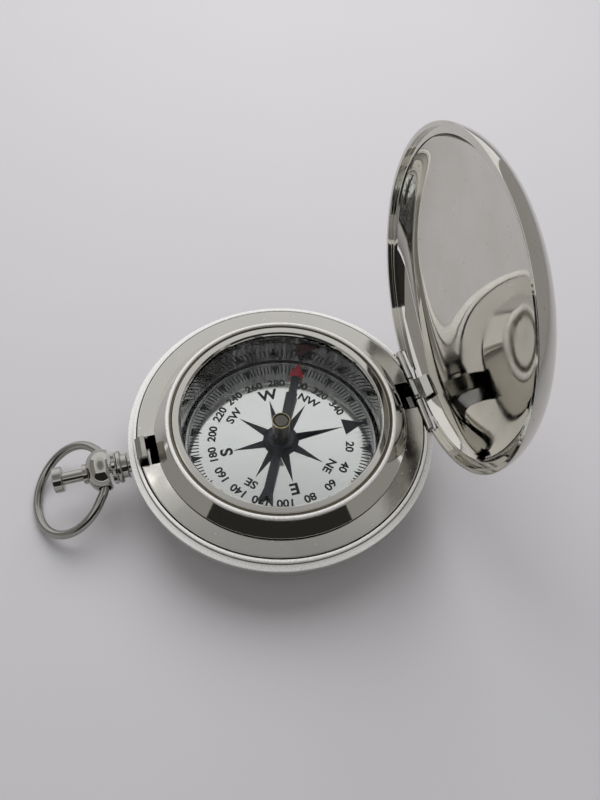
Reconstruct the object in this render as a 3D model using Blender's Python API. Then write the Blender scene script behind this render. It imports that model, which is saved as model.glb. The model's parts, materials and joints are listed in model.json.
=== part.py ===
"""A nickel-plated pocket compass in a hunter case, standing open on its flat back.

Lengths are in metres. The origin is the centre of the flat back, +Z is up through the dial, and
+X points from the pendant to the lid's hinge. Heights called "rise" are counted from the widest
edge of the case rim, upwards, and depths from the same edge, downwards.
"""

import math

import bmesh
import bpy
from mathutils import Matrix

MM = 0.001

# Clearances
SEAT_GAP = 0.3 * MM
LID_FIT = 0.3 * MM
PIN_CLEARANCE = 0.1 * MM
STEM_CLEARANCE = 0.2 * MM
SHAFT_CLEARANCE = 0.15 * MM
BOW_CLEARANCE = 0.25 * MM
JEWEL_CLEARANCE = 0.2 * MM
SCREW_CLEARANCE = 0.15 * MM
TABLE_GAP = 0.05 * MM

# Case bowl and its rim
RIM_RADIUS = 25.0 * MM
RIM_HEIGHT = 10.8 * MM
BACK_FLAT_RADIUS = 14.0 * MM
BOWL_FULLNESS = 2.5
CASE_WALL = 0.8 * MM
RIM_LAND_WIDTH = 1.0 * MM
RIM_LAND_RISE = 0.4 * MM
RIM_BEAD_WIDTH = 0.5 * MM
RIM_BEAD_RISE = 1.05 * MM
RIM_EDGE_ROUND = 0.15 * MM
RIM_LIP_DEPTH = 0.2 * MM
RIM_UNDERCUT = 0.6 * MM

# Ledge ring inside the rim
LEDGE_GAP = 0.4 * MM
LEDGE_RISE = 1.2 * MM
LEDGE_EDGE_ROUND = 0.12 * MM
LEDGE_THICKNESS = 0.6 * MM
LEDGE_FLANGE = 0.6 * MM
LEDGE_WIDTH = 2.5 * MM

# Bezel and glass
SKIRT_INSET = 2.0 * MM
BEZEL_RISE = 4.15 * MM
BEZEL_BEAD_RADIUS = 0.38 * MM
BEZEL_GROOVE_DEPTH = 0.3 * MM
BEZEL_RIDGE_WIDTH = 0.45 * MM
BEZEL_LIP = 1.0 * MM
BEZEL_LIP_THICKNESS = 0.45 * MM
BEZEL_LIP_DROP = 0.3 * MM
BEZEL_WALL = 0.8 * MM
BEZEL_WIDTH = 4.4 * MM
BEZEL_SPIGOT_DEPTH = 2.5 * MM
CRYSTAL_THICKNESS = 1.0 * MM
CRYSTAL_CHAMFER = 0.2 * MM

# Dial and its cup
DIAL_DEPTH = 4.94 * MM
DIAL_THICKNESS = 0.4 * MM
CUP_WALL = 0.4 * MM
CUP_FLOOR = 0.5 * MM

# Needle and its bearing
PIVOT_RADIUS = 0.45 * MM
PIVOT_POINT = 0.8 * MM
PIVOT_HEAD_RADIUS = 1.3 * MM
PIVOT_HEAD_THICKNESS = 0.4 * MM
PIVOT_PLAY = 0.3 * MM
NEEDLE_LIFT = 0.65 * MM
NEEDLE_THICKNESS = 0.3 * MM
NEEDLE_TIP_GAP = 0.3 * MM
NEEDLE_HEAD_LENGTH = 3.0 * MM
NEEDLE_HEAD_WIDTH = 2.8 * MM
NEEDLE_NECK_WIDTH = 1.3 * MM
NEEDLE_NECK_LENGTH = 3.6 * MM
NEEDLE_BAR_WIDTH = 2.0 * MM
NEEDLE_HUB_RADIUS = 2.2 * MM
NEEDLE_WAIST_WIDTH = 1.5 * MM
NEEDLE_TAIL_SHORTFALL = 3.7 * MM
NEEDLE_TAIL_LENGTH = 2.4 * MM
NEEDLE_TAIL_WIDTH = 2.6 * MM
NEEDLE_ANGLE = math.radians(64.0)
CAP_RADIUS = 1.48 * MM
CAP_HEIGHT = 5.35 * MM
CAP_RIM = 0.18 * MM
CAP_SPIGOT_WALL = 0.2 * MM
CAP_SPIGOT_LENGTH = 0.9 * MM
JEWEL_THICKNESS = 0.5 * MM
JEWEL_RECESS = 0.1 * MM

# Lid
LID_RISE = 6.2 * MM
LID_CROWN = 0.75 * MM
LID_FULLNESS = 8.0
LID_SHOULDER = 1.6
LID_WALL = 0.6 * MM
LID_EDGE_ROUND = 0.15 * MM
LID_FLANGE_WIDTH = 1.05 * MM
LID_FLANGE_THICKNESS = 0.4 * MM
LID_FLANGE_FILLET = 0.3 * MM
LID_OPEN_ANGLE = math.radians(92.1)

# Hinge
HINGE_INSET = 1.4 * MM
HINGE_RISE = 0.7 * MM
HINGE_OFFSET = 1.1 * MM
HINGE_LENGTH = 16.0 * MM
LID_KNUCKLE_LENGTH = 3.9 * MM
KNUCKLE_RADIUS = 0.6 * MM
KNUCKLE_FOOT_WIDTH = 0.9 * MM
HINGE_BED_DEPTH = 0.9 * MM
HINGE_NOTCH_WIDTH = 5.2 * MM
HINGE_NOTCH_ROOM = 1.7 * MM
NOTCH_RISE = 0.35 * MM
PIN_RADIUS = 0.3 * MM
ARM_LENGTH = 1.1 * MM
ARM_THICKNESS = 0.45 * MM
HEEL_REACH = 1.15 * MM
HEEL_THICKNESS = 0.6 * MM
HEEL_WIDTH = 2.8 * MM
HEEL_ANGLE = math.radians(20.0)

# Leaf springs under the ledge
LEAF_THICKNESS = 0.5 * MM
LEAF_HEIGHT = 1.7 * MM
LEAF_OVERHANG = 1.3 * MM
LEAF_SPAN = math.radians(50.0)
LIFT_TIP_WIDTH = 2.1 * MM
LIFT_TIP_LENGTH = 0.9 * MM
LIFT_TIP_DROP = 0.6 * MM
SPRING_SCREW_RADIUS = 0.4 * MM
SPRING_SCREW_HEAD_RADIUS = 0.8 * MM
SPRING_SCREW_HEAD = 0.45 * MM
SPRING_SCREW_SLOT = 0.2 * MM

# Catch hook
HOOK_WIDTH = 3.8 * MM
HOOK_STEM = 0.95 * MM
HOOK_BITE = 0.35 * MM
HOOK_NOSE_LAND = 0.15 * MM
HOOK_CROWN = 0.65 * MM
HOOK_SLOPE = 0.9 * MM
CATCH_NOTCH_WIDTH = 5.3 * MM
CATCH_NOTCH_ROOM = 0.7 * MM

# Pendant, button and bow
PENDANT_DEPTH = 2.0 * MM
NECK_RADIUS = 1.95 * MM
NECK_FLARE = 0.3 * MM
NECK_LENGTH = 1.05 * MM
NECK_BEAD_RADIUS = 2.65 * MM
NECK_BEAD_WIDTH = 0.9 * MM
NECK_WAIST_RADIUS = 2.15 * MM
COLLAR_RADIUS = 2.6 * MM
COLLAR_LENGTH = 0.8 * MM
COLLAR_FLUTES = 18
COLLAR_FLUTE_DEPTH = 0.22 * MM
SPIGOT_RADIUS = 1.25 * MM
BALL_RADIUS = 3.5 * MM
BALL_HALF_LENGTH = 2.75 * MM
BALL_TRIM = 1.55 * MM
BALL_MOUTH_RADIUS = 1.6 * MM
BALL_MOUTH_LENGTH = 0.3 * MM
STEM_RADIUS = 0.65 * MM
SHAFT_RADIUS = 1.0 * MM
SHAFT_EXPOSED = 3.2 * MM
BUTTON_RADIUS = 2.05 * MM
BUTTON_THICKNESS = 1.5 * MM
BUTTON_ROUND = 0.25 * MM
BUTTON_TRAVEL = 1.0 * MM
CLIP_RADIUS = 1.1 * MM
CLIP_THICKNESS = 0.3 * MM
STEM_TIP = 0.3 * MM
BOW_WIRE_RADIUS = 0.75 * MM
BOW_RADIUS = 7.53 * MM
BOW_CENTRE = 7.06 * MM
BOW_SOCKET_DEPTH = 1.8 * MM
BOW_BEND_GAP = 0.1 * MM
BOW_BEND_ANGLE = math.radians(40.0)

# Facets
SEGMENTS = 52
PENDANT_SEGMENTS = 28
SMALL_SEGMENTS = 24
CURVE_STEPS = 8
HALVINGS = 40
BOW_STEPS = 36
SHARP_ANGLE = math.radians(32.0)
CUT_MARGIN = 2.0 * MM

# Radii and heights that the sizes above fix
BEAD_OUTER = RIM_RADIUS - RIM_LAND_WIDTH
BEAD_INNER = BEAD_OUTER - RIM_BEAD_WIDTH
LEDGE_OUTER = BEAD_INNER - LEDGE_GAP
FLANGE_INNER = LEDGE_OUTER - LEDGE_FLANGE
SKIRT_RADIUS = LEDGE_OUTER - LEDGE_WIDTH
BEZEL_LIP_RADIUS = SKIRT_RADIUS - BEZEL_WIDTH
BEZEL_BORE_RADIUS = BEZEL_LIP_RADIUS + BEZEL_LIP
SPIGOT_WALL_RADIUS = BEZEL_BORE_RADIUS + BEZEL_WALL
LEDGE_INNER = SPIGOT_WALL_RADIUS + SEAT_GAP
LEDGE_UNDERSIDE = LEDGE_RISE - LEDGE_THICKNESS
SKIRT_BOTTOM = LEDGE_RISE + SEAT_GAP
BEAD_CENTRE_RISE = BEZEL_RISE - BEZEL_BEAD_RADIUS
BEAD_CENTRE = SKIRT_RADIUS - SKIRT_INSET - BEZEL_BEAD_RADIUS
LIP_UNDERSIDE = BEZEL_RISE - BEZEL_LIP_DROP - BEZEL_LIP_THICKNESS
CRYSTAL_RADIUS = BEZEL_BORE_RADIUS - SEAT_GAP
CRYSTAL_TOP = LIP_UNDERSIDE - SEAT_GAP
CRYSTAL_BOTTOM = CRYSTAL_TOP - CRYSTAL_THICKNESS
CUP_INNER = CRYSTAL_RADIUS - CUP_WALL
DIAL_RADIUS = CUP_INNER - SEAT_GAP
CUP_FLOOR_RISE = -DIAL_DEPTH - DIAL_THICKNESS - SEAT_GAP
NEEDLE_REACH = DIAL_RADIUS - NEEDLE_TIP_GAP
NEEDLE_TAIL_REACH = NEEDLE_REACH - NEEDLE_TAIL_SHORTFALL
NEEDLE_BOTTOM = NEEDLE_LIFT - DIAL_DEPTH
NEEDLE_TOP = NEEDLE_BOTTOM + NEEDLE_THICKNESS
CAP_BOTTOM = NEEDLE_TOP + SEAT_GAP
CAP_TOP = CAP_BOTTOM + CAP_HEIGHT
CAP_BORE = PIVOT_RADIUS + PIVOT_PLAY
SPIGOT_OUTER = CAP_BORE + CAP_SPIGOT_WALL
NEEDLE_HOLE = SPIGOT_OUTER + JEWEL_CLEARANCE
CAP_RECESS = CAP_RADIUS - CAP_RIM
JEWEL_BOTTOM = CAP_TOP - JEWEL_RECESS - JEWEL_THICKNESS
LIP_BOTTOM = RIM_LAND_RISE + LID_FIT
LIP_INNER = BEAD_OUTER + LID_FIT
LID_FLANGE_BOTTOM = RIM_BEAD_RISE + LID_FIT
LID_FLANGE_TOP = LID_FLANGE_BOTTOM + LID_FLANGE_THICKNESS
LID_FLANGE_INNER = LIP_INNER - LID_FLANGE_WIDTH
HINGE_X = RIM_RADIUS - HINGE_INSET
HINGE_BED_X = HINGE_X - KNUCKLE_RADIUS - SEAT_GAP
LID_CUT_TOP = LID_FLANGE_TOP + LID_FLANGE_FILLET
LEAF_OUTER = FLANGE_INNER - SEAT_GAP
LEAF_INNER = LEAF_OUTER - LEAF_THICKNESS
LEAF_MIDDLE = -PENDANT_DEPTH
LEAF_TOP = LEAF_MIDDLE + LEAF_HEIGHT / 2
LEAF_BOTTOM = LEAF_MIDDLE - LEAF_HEIGHT / 2
HINGE_NOTCH_INNER = LEAF_INNER - HINGE_NOTCH_ROOM
HOOK_OUTER = LID_FLANGE_INNER - LID_FIT
CATCH_NOTCH_INNER = HOOK_OUTER - HOOK_STEM - BUTTON_TRAVEL - CATCH_NOTCH_ROOM
PENDANT_Z = RIM_HEIGHT - PENDANT_DEPTH
STEM_END = HOOK_OUTER + SEAT_GAP
CLIP_END = STEM_END + STEM_TIP
SPIGOT_END = CLIP_END + CLIP_THICKNESS + SEAT_GAP
NECK_BORE = STEM_RADIUS + STEM_CLEARANCE
SHAFT_BORE = SHAFT_RADIUS + SHAFT_CLEARANCE
NECK_START = RIM_RADIUS + SEAT_GAP
BEAD_START = NECK_START + NECK_LENGTH
COLLAR_START = BEAD_START + NECK_BEAD_WIDTH
COLLAR_END = COLLAR_START + COLLAR_LENGTH
BALL_START = COLLAR_END + SEAT_GAP
BALL_CENTRE = BALL_START + BALL_HALF_LENGTH - BALL_TRIM
BALL_END = BALL_CENTRE + BALL_HALF_LENGTH + BALL_MOUTH_LENGTH
SHAFT_STEP = BALL_END - BUTTON_TRAVEL
HEAD_START = BALL_END + SHAFT_EXPOSED
BOW_SOCKET_RADIUS = BOW_WIRE_RADIUS + BOW_CLEARANCE
BOW_DROOP = math.asin((PENDANT_Z - BOW_WIRE_RADIUS - TABLE_GAP) / (BOW_CENTRE + BOW_RADIUS))


def clear_scene():
    for obj in list(bpy.data.objects):
        bpy.data.objects.remove(obj, do_unlink=True)


def make_material(name, colour, roughness, metallic):
    material = bpy.data.materials.new(name)
    material.use_nodes = True
    shader = material.node_tree.nodes["Principled BSDF"]
    shader.inputs["Base Color"].default_value = (*colour, 1.0)
    shader.inputs["Roughness"].default_value = roughness
    shader.inputs["Metallic"].default_value = metallic
    return material


def add_object(name, bm, finish, location=(0, 0, 0), rotation=(0, 0, 0), parent=None):
    """Turns a bmesh into a smooth-shaded object with its own material."""
    mesh = bpy.data.meshes.new(name)
    bmesh.ops.recalc_face_normals(bm, faces=bm.faces)
    bm.to_mesh(mesh)
    bm.free()
    mesh.shade_smooth()
    mesh.set_sharp_from_angle(angle=SHARP_ANGLE)
    obj = bpy.data.objects.new(name, mesh)
    bpy.context.scene.collection.objects.link(obj)
    if finish is not None:
        mesh.materials.append(make_material(name, *finish))
    obj.location = location
    obj.rotation_euler = rotation
    obj.parent = parent
    return obj


def add_cutter(name, bm, **place):
    """A helper solid that only cuts or joins others."""
    cutter = add_object(name, bm, None, **place)
    cutter.hide_render = True
    cutter.display_type = "WIRE"
    return cutter


def add_axis(name, location, rotation):
    """An empty on a joint's axis, which carries the pieces that turn about it."""
    axis = bpy.data.objects.new(name, None)
    bpy.context.scene.collection.objects.link(axis)
    axis.location = location
    axis.rotation_euler = rotation
    return axis


def combine(target, operation, *tools):
    for tool in tools:
        modifier = target.modifiers.new(f"{operation} {tool.name}", "BOOLEAN")
        modifier.operation = operation
        modifier.solver = "EXACT"
        modifier.object = tool


def turned(section, segments=SEGMENTS):
    """A solid of revolution about Z from a closed section of (radius, height) points."""
    bm = bmesh.new()
    verts = [bm.verts.new((radius, 0, height)) for radius, height in section]
    edges = []
    for start, end in zip(verts, verts[1:] + verts[:1]):
        if start.co.x > 0 or end.co.x > 0:
            edges.append(bm.edges.new((start, end)))
    bmesh.ops.spin(bm, geom=verts + edges, cent=(0, 0, 0), axis=(0, 0, 1),
                   angle=math.tau, steps=segments, use_merge=True)
    bmesh.ops.remove_doubles(bm, verts=bm.verts, dist=1e-7)
    return bm


def extruded(outline, low, high, along="Z"):
    """A prism. The outline is in XY for a prism along Z, and in XZ for one along Y."""
    bm = bmesh.new()
    if along == "Z":
        verts = [bm.verts.new((x, y, low)) for x, y in outline]
        step = (0, 0, high - low)
    else:
        verts = [bm.verts.new((x, low, z)) for x, z in outline]
        step = (0, high - low, 0)
    face = bm.faces.new(verts)
    grown = bmesh.ops.extrude_face_region(bm, geom=[face])
    moved = [item for item in grown["geom"] if isinstance(item, bmesh.types.BMVert)]
    bmesh.ops.translate(bm, verts=moved, vec=step)
    return bm


def block(x, y, z):
    """A box from three (low, high) pairs."""
    corners = [(x[0], y[0]), (x[1], y[0]), (x[1], y[1]), (x[0], y[1])]
    return extruded(corners, z[0], z[1])


def rod(radius, low, high, segments=SMALL_SEGMENTS):
    """A plain cylinder about Z."""
    return turned([(0, low), (radius, low), (radius, high), (0, high)], segments)


def arc(centre, radius, start, end, steps):
    """Points on a circle from one angle to another, both included."""
    points = []
    for step in range(steps + 1):
        angle = start + (end - start) * step / steps
        x = centre[0] + radius * math.cos(angle)
        y = centre[1] + radius * math.sin(angle)
        points.append((x, y))
    return points


def bowl_reach(top_radius, flat_depth):
    """The depth at which a bowl curve would close, given its flat."""
    share = 1 - (BACK_FLAT_RADIUS / top_radius) ** 2
    return flat_depth / share ** (1 / BOWL_FULLNESS)


def bowl_depth(radius, top_radius, flat_depth):
    share = 1 - (radius / top_radius) ** 2
    return bowl_reach(top_radius, flat_depth) * share ** (1 / BOWL_FULLNESS)


def bowl_curve(top_radius, flat_depth, start_depth):
    """(radius, depth) points from a start depth down to the edge of the flat."""
    reach = bowl_reach(top_radius, flat_depth)
    first = math.asin((start_depth / reach) ** (BOWL_FULLNESS / 2))
    last = math.acos(BACK_FLAT_RADIUS / top_radius)
    points = []
    for step in range(CURVE_STEPS + 1):
        angle = first + (last - first) * step / CURVE_STEPS
        depth = reach * math.sin(angle) ** (2 / BOWL_FULLNESS)
        points.append((top_radius * math.cos(angle), depth))
    return points


def dome_point(angle, base_radius, rise):
    """(radius, height) on the lid's section: angle 0 at the foot, a quarter turn at the crown."""
    share = math.cos(angle) ** (2 / LID_FULLNESS)
    height = (rise - LID_CROWN * share ** 2) * math.sin(angle) ** (2 / LID_SHOULDER)
    return base_radius * share, height


def dome_angle(height, rise):
    """The section's angle at a height, found by halving."""
    low, high = 0, math.pi / 2
    for _ in range(HALVINGS):
        middle = (low + high) / 2
        if dome_point(middle, 1, rise)[1] < height:
            low = middle
        else:
            high = middle
    return low


def dome_curve(base_radius, rise, start_height):
    """(radius, height) points from a start height up to the crown."""
    first = dome_angle(start_height, rise)
    points = []
    for step in range(CURVE_STEPS):
        angle = first + (math.pi / 2 - first) * step / CURVE_STEPS
        points.append(dome_point(angle, base_radius, rise))
    return points + [(0, rise)]


def lid_inner_radius(rise):
    """Radius of the closed lid's inner wall at a rise above the rim's edge."""
    angle = dome_angle(rise - LIP_BOTTOM, LID_RISE - LID_WALL)
    return dome_point(angle, RIM_RADIUS - LID_WALL, LID_RISE - LID_WALL)[0]


def raised(points):
    """Moves (radius, rise) points from the rim's edge to the part's frame."""
    return [(radius, RIM_HEIGHT + rise) for radius, rise in points]


NICKEL = ((0.66, 0.64, 0.60), 0.12, 1.0)
WORN_NICKEL = ((0.60, 0.58, 0.53), 0.25, 1.0)
SATIN_NICKEL = ((0.70, 0.69, 0.66), 0.2, 1.0)
SPRING_STEEL = ((0.35, 0.35, 0.36), 0.35, 1.0)
DARK_STEEL = ((0.16, 0.16, 0.17), 0.3, 1.0)
BLUED_STEEL = ((0.03, 0.04, 0.06), 0.4, 0.6)
BRASS = ((0.62, 0.47, 0.22), 0.3, 1.0)
GLASS = ((0.9, 0.95, 0.95), 0.02, 0.0)
JEWEL = ((0.1, 0.09, 0.08), 0.15, 0.0)

Y_ALONG_Z = Matrix.Rotation(-math.pi / 2, 3, "X")
HINGE_SPAN = (HINGE_OFFSET - HINGE_LENGTH / 2, HINGE_OFFSET + HINGE_LENGTH / 2)
HINGE_BED_SPAN = (HINGE_SPAN[0] - SEAT_GAP, HINGE_SPAN[1] + SEAT_GAP)
LID_KNUCKLE_SPAN = (HINGE_OFFSET - LID_KNUCKLE_LENGTH / 2, HINGE_OFFSET + LID_KNUCKLE_LENGTH / 2)
OUTSIDE = RIM_RADIUS + CUT_MARGIN


def hinge_bed():
    """The space that the hinge takes out of the rim and the ledge."""
    rises = (RIM_HEIGHT - HINGE_BED_DEPTH, RIM_HEIGHT + BEZEL_RISE)
    return add_cutter("hinge_bed_cut", block((HINGE_BED_X, OUTSIDE), HINGE_BED_SPAN, rises))


def edge_notch(name, side, inner, width):
    """A slot through the ledge and its flange, open towards the rim."""
    near, far = sorted((side * inner, side * BEAD_INNER))
    rises = (0, RIM_HEIGHT + SKIRT_BOTTOM + NOTCH_RISE)
    return add_cutter(name, block((near, far), (-width / 2, width / 2), rises))


def make_case_bowl(bed):
    outer = bowl_curve(RIM_RADIUS, RIM_HEIGHT, 0)
    outer = [(radius, RIM_HEIGHT - depth) for radius, depth in reversed(outer)]
    rim = [
        (RIM_RADIUS - RIM_EDGE_ROUND, RIM_EDGE_ROUND),
        (BEAD_OUTER + RIM_EDGE_ROUND, RIM_LAND_RISE),
        (BEAD_OUTER, RIM_LAND_RISE + RIM_EDGE_ROUND),
        (BEAD_OUTER, RIM_BEAD_RISE - RIM_EDGE_ROUND),
        (BEAD_OUTER - RIM_EDGE_ROUND, RIM_BEAD_RISE),
        (BEAD_INNER + RIM_EDGE_ROUND, RIM_BEAD_RISE),
        (BEAD_INNER, RIM_BEAD_RISE - RIM_EDGE_ROUND),
        (BEAD_INNER, -RIM_LIP_DEPTH),
    ]
    inner = bowl_curve(RIM_RADIUS - CASE_WALL, RIM_HEIGHT - CASE_WALL, RIM_LIP_DEPTH + RIM_UNDERCUT)
    inner = [(radius, RIM_HEIGHT - depth) for radius, depth in inner]
    section = [(0, 0)] + outer + raised(rim) + inner + [(0, CASE_WALL)]
    bowl = add_object("case_bowl", turned(section), NICKEL)
    hole = rod(SPIGOT_RADIUS + SEAT_GAP, BEAD_INNER - CUT_MARGIN, RIM_RADIUS + CUT_MARGIN)
    hole = add_cutter("pendant_hole", hole, location=(0, 0, PENDANT_Z), rotation=(0, -math.pi / 2, 0))
    combine(bowl, "DIFFERENCE", bed, hole)
    return bowl


def make_ledge_ring(bed, notches):
    """A flat ring whose flange stands on the narrowing wall of the bowl."""
    seat = bowl_depth(LEDGE_OUTER + SEAT_GAP, RIM_RADIUS - CASE_WALL, RIM_HEIGHT - CASE_WALL)
    section = [
        (LEDGE_INNER, LEDGE_RISE),
        (LEDGE_INNER, LEDGE_UNDERSIDE),
        (FLANGE_INNER, LEDGE_UNDERSIDE),
        (FLANGE_INNER, -seat),
        (LEDGE_OUTER, -seat),
        (LEDGE_OUTER, LEDGE_RISE - LEDGE_EDGE_ROUND),
        (LEDGE_OUTER - LEDGE_EDGE_ROUND, LEDGE_RISE),
    ]
    ring = add_object("ledge_ring", turned(raised(section)), SATIN_NICKEL)
    combine(ring, "DIFFERENCE", bed, *notches)
    return ring


def make_bezel(notches):
    """The turned ring round the glass: skirt on the ledge, bead, ridge, inner lip and spigot."""
    bead = arc((BEAD_CENTRE, BEAD_CENTRE_RISE), BEZEL_BEAD_RADIUS, -math.pi / 6, math.pi, 5)
    groove_radius = BEAD_CENTRE - BEZEL_BEAD_RADIUS
    groove_rise = BEAD_CENTRE_RISE - BEZEL_GROOVE_DEPTH / 2
    ridge = groove_radius - BEZEL_RIDGE_WIDTH
    lip_top = LIP_UNDERSIDE + BEZEL_LIP_THICKNESS
    section = [
        (SKIRT_RADIUS, SKIRT_BOTTOM),
        *bead,
        (groove_radius, groove_rise),
        (ridge + BEZEL_RIDGE_WIDTH / 2, groove_rise),
        (ridge, BEZEL_RISE - BEZEL_LIP_DROP / 2),
        (BEZEL_LIP_RADIUS + BEZEL_LIP_THICKNESS / 2, lip_top - BEZEL_LIP_DROP / 2),
        (BEZEL_LIP_RADIUS, lip_top - BEZEL_LIP_DROP / 2),
        (BEZEL_LIP_RADIUS, LIP_UNDERSIDE),
        (BEZEL_BORE_RADIUS, LIP_UNDERSIDE),
        (BEZEL_BORE_RADIUS, -BEZEL_SPIGOT_DEPTH),
        (SPIGOT_WALL_RADIUS, -BEZEL_SPIGOT_DEPTH),
        (SPIGOT_WALL_RADIUS, SKIRT_BOTTOM),
    ]
    bezel = add_object("bezel", turned(raised(section)), NICKEL)
    combine(bezel, "DIFFERENCE", *notches)
    return bezel


def make_glass_and_dial():
    edge = CRYSTAL_RADIUS - CRYSTAL_CHAMFER
    section = [
        (0, CRYSTAL_TOP),
        (edge, CRYSTAL_TOP),
        (CRYSTAL_RADIUS, CRYSTAL_TOP - CRYSTAL_CHAMFER),
        (CRYSTAL_RADIUS, CRYSTAL_BOTTOM + CRYSTAL_CHAMFER),
        (edge, CRYSTAL_BOTTOM),
        (0, CRYSTAL_BOTTOM),
    ]
    add_object("crystal", turned(raised(section)), GLASS)
    hole = PIVOT_RADIUS + PIVOT_PLAY
    cup = [
        (CRYSTAL_RADIUS, CRYSTAL_BOTTOM - SEAT_GAP),
        (CUP_INNER, CRYSTAL_BOTTOM - SEAT_GAP),
        (CUP_INNER, CUP_FLOOR_RISE),
        (hole, CUP_FLOOR_RISE),
        (hole, CUP_FLOOR_RISE - CUP_FLOOR),
        (CRYSTAL_RADIUS, CUP_FLOOR_RISE - CUP_FLOOR),
    ]
    add_object("dial_cup", turned(raised(cup)), DARK_STEEL)
    dial = [
        (hole, -DIAL_DEPTH),
        (hole, -DIAL_DEPTH - DIAL_THICKNESS),
        (DIAL_RADIUS, -DIAL_DEPTH - DIAL_THICKNESS),
        (DIAL_RADIUS, -DIAL_DEPTH),
    ]
    add_object("dial", turned(raised(dial)), SATIN_NICKEL)


def needle_outline():
    """The needle seen from above, pointing along +X: red head, neck, flared bar, hub and tail."""
    head_base = NEEDLE_REACH - NEEDLE_HEAD_LENGTH
    flare = head_base - NEEDLE_NECK_LENGTH
    tail = -NEEDLE_TAIL_REACH
    hub_angle = math.asin(NEEDLE_WAIST_WIDTH / 2 / NEEDLE_HUB_RADIUS)
    upper = [
        (head_base, NEEDLE_HEAD_WIDTH / 2),
        (head_base, NEEDLE_NECK_WIDTH / 2),
        (flare, NEEDLE_NECK_WIDTH / 2),
        (flare, NEEDLE_BAR_WIDTH / 2),
    ]
    upper += arc((0, 0), NEEDLE_HUB_RADIUS, hub_angle, math.pi - hub_angle, SMALL_SEGMENTS // 3)
    upper += [
        (tail + NEEDLE_TAIL_LENGTH, NEEDLE_WAIST_WIDTH / 2),
        (tail, NEEDLE_TAIL_WIDTH / 2),
    ]
    notch = (tail + NEEDLE_TAIL_LENGTH / 2, 0)
    lower = [(x, -y) for x, y in reversed(upper)]
    return [(NEEDLE_REACH, 0)] + upper + [notch] + lower


def make_needle():
    """Post, needle, cap and bearing. The needle turns about the part's own Z axis."""
    head_top = CUP_FLOOR_RISE - CUP_FLOOR - SEAT_GAP
    tip = JEWEL_BOTTOM - PIVOT_PLAY
    post = [
        (0, head_top - PIVOT_HEAD_THICKNESS),
        (PIVOT_HEAD_RADIUS, head_top - PIVOT_HEAD_THICKNESS),
        (PIVOT_HEAD_RADIUS, head_top),
        (PIVOT_RADIUS, head_top),
        (PIVOT_RADIUS, tip - PIVOT_POINT),
        (0, tip),
    ]
    add_object("pivot_post", turned(raised(post), SMALL_SEGMENTS), SPRING_STEEL)
    axis = add_axis("needle_axis", (0, 0, RIM_HEIGHT), (0, 0, NEEDLE_ANGLE))
    strip = extruded(needle_outline(), NEEDLE_BOTTOM, NEEDLE_TOP)
    needle = add_object("needle", strip, BLUED_STEEL, parent=axis)
    hole = rod(NEEDLE_HOLE, NEEDLE_BOTTOM - CUT_MARGIN, NEEDLE_TOP + CUT_MARGIN)
    combine(needle, "DIFFERENCE", add_cutter("needle_hole", hole, parent=axis))
    recess_floor = JEWEL_BOTTOM - JEWEL_CLEARANCE
    cap = [
        (CAP_BORE, CAP_BOTTOM - CAP_SPIGOT_LENGTH),
        (SPIGOT_OUTER, CAP_BOTTOM - CAP_SPIGOT_LENGTH),
        (SPIGOT_OUTER, CAP_BOTTOM),
        (CAP_RADIUS, CAP_BOTTOM),
        (CAP_RADIUS, CAP_TOP),
        (CAP_RECESS, CAP_TOP),
        (CAP_RECESS, recess_floor),
        (CAP_BORE, recess_floor),
    ]
    add_object("needle_cap", turned(cap, SMALL_SEGMENTS), BRASS, parent=axis)
    jewel = rod(CAP_RECESS - JEWEL_CLEARANCE, JEWEL_BOTTOM, JEWEL_BOTTOM + JEWEL_THICKNESS)
    add_object("needle_jewel", jewel, JEWEL, parent=axis)


def make_lid(axis):
    """The domed lid, modelled shut about the hinge and turned open by its axis."""
    outer = dome_curve(RIM_RADIUS, LID_RISE, LID_EDGE_ROUND)
    outer = [(radius, LIP_BOTTOM + height) for radius, height in reversed(outer)]
    lip = [
        (RIM_RADIUS - LID_EDGE_ROUND, LIP_BOTTOM),
        (LIP_INNER, LIP_BOTTOM),
        (LIP_INNER, LID_FLANGE_BOTTOM),
        (LID_FLANGE_INNER, LID_FLANGE_BOTTOM),
        (LID_FLANGE_INNER, LID_FLANGE_TOP),
    ]
    inner = dome_curve(RIM_RADIUS - LID_WALL, LID_RISE - LID_WALL, LID_CUT_TOP - LIP_BOTTOM)
    inner = [(radius, LIP_BOTTOM + height) for radius, height in inner]
    section = [(radius, rise - HINGE_RISE) for radius, rise in outer + lip + inner]
    shell = turned(section)
    bmesh.ops.translate(shell, verts=shell.verts, vec=(-HINGE_X, 0, 0))
    lid = add_object("lid", shell, NICKEL, parent=axis)
    reliefs = (HINGE_BED_X - HINGE_X, OUTSIDE - HINGE_X)
    rises = (-HINGE_RISE, LID_CUT_TOP - HINGE_RISE)
    relief = add_cutter("lid_hinge_cut", block(reliefs, HINGE_BED_SPAN, rises), parent=axis)
    combine(lid, "DIFFERENCE", relief)


def y_rod(name, radius, span, **place):
    """A cutter along Y about the local origin."""
    bar = rod(radius, span[0], span[1])
    bmesh.ops.rotate(bar, verts=bar.verts, cent=(0, 0, 0), matrix=Y_ALONG_Z)
    return add_cutter(name, bar, **place)


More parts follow.
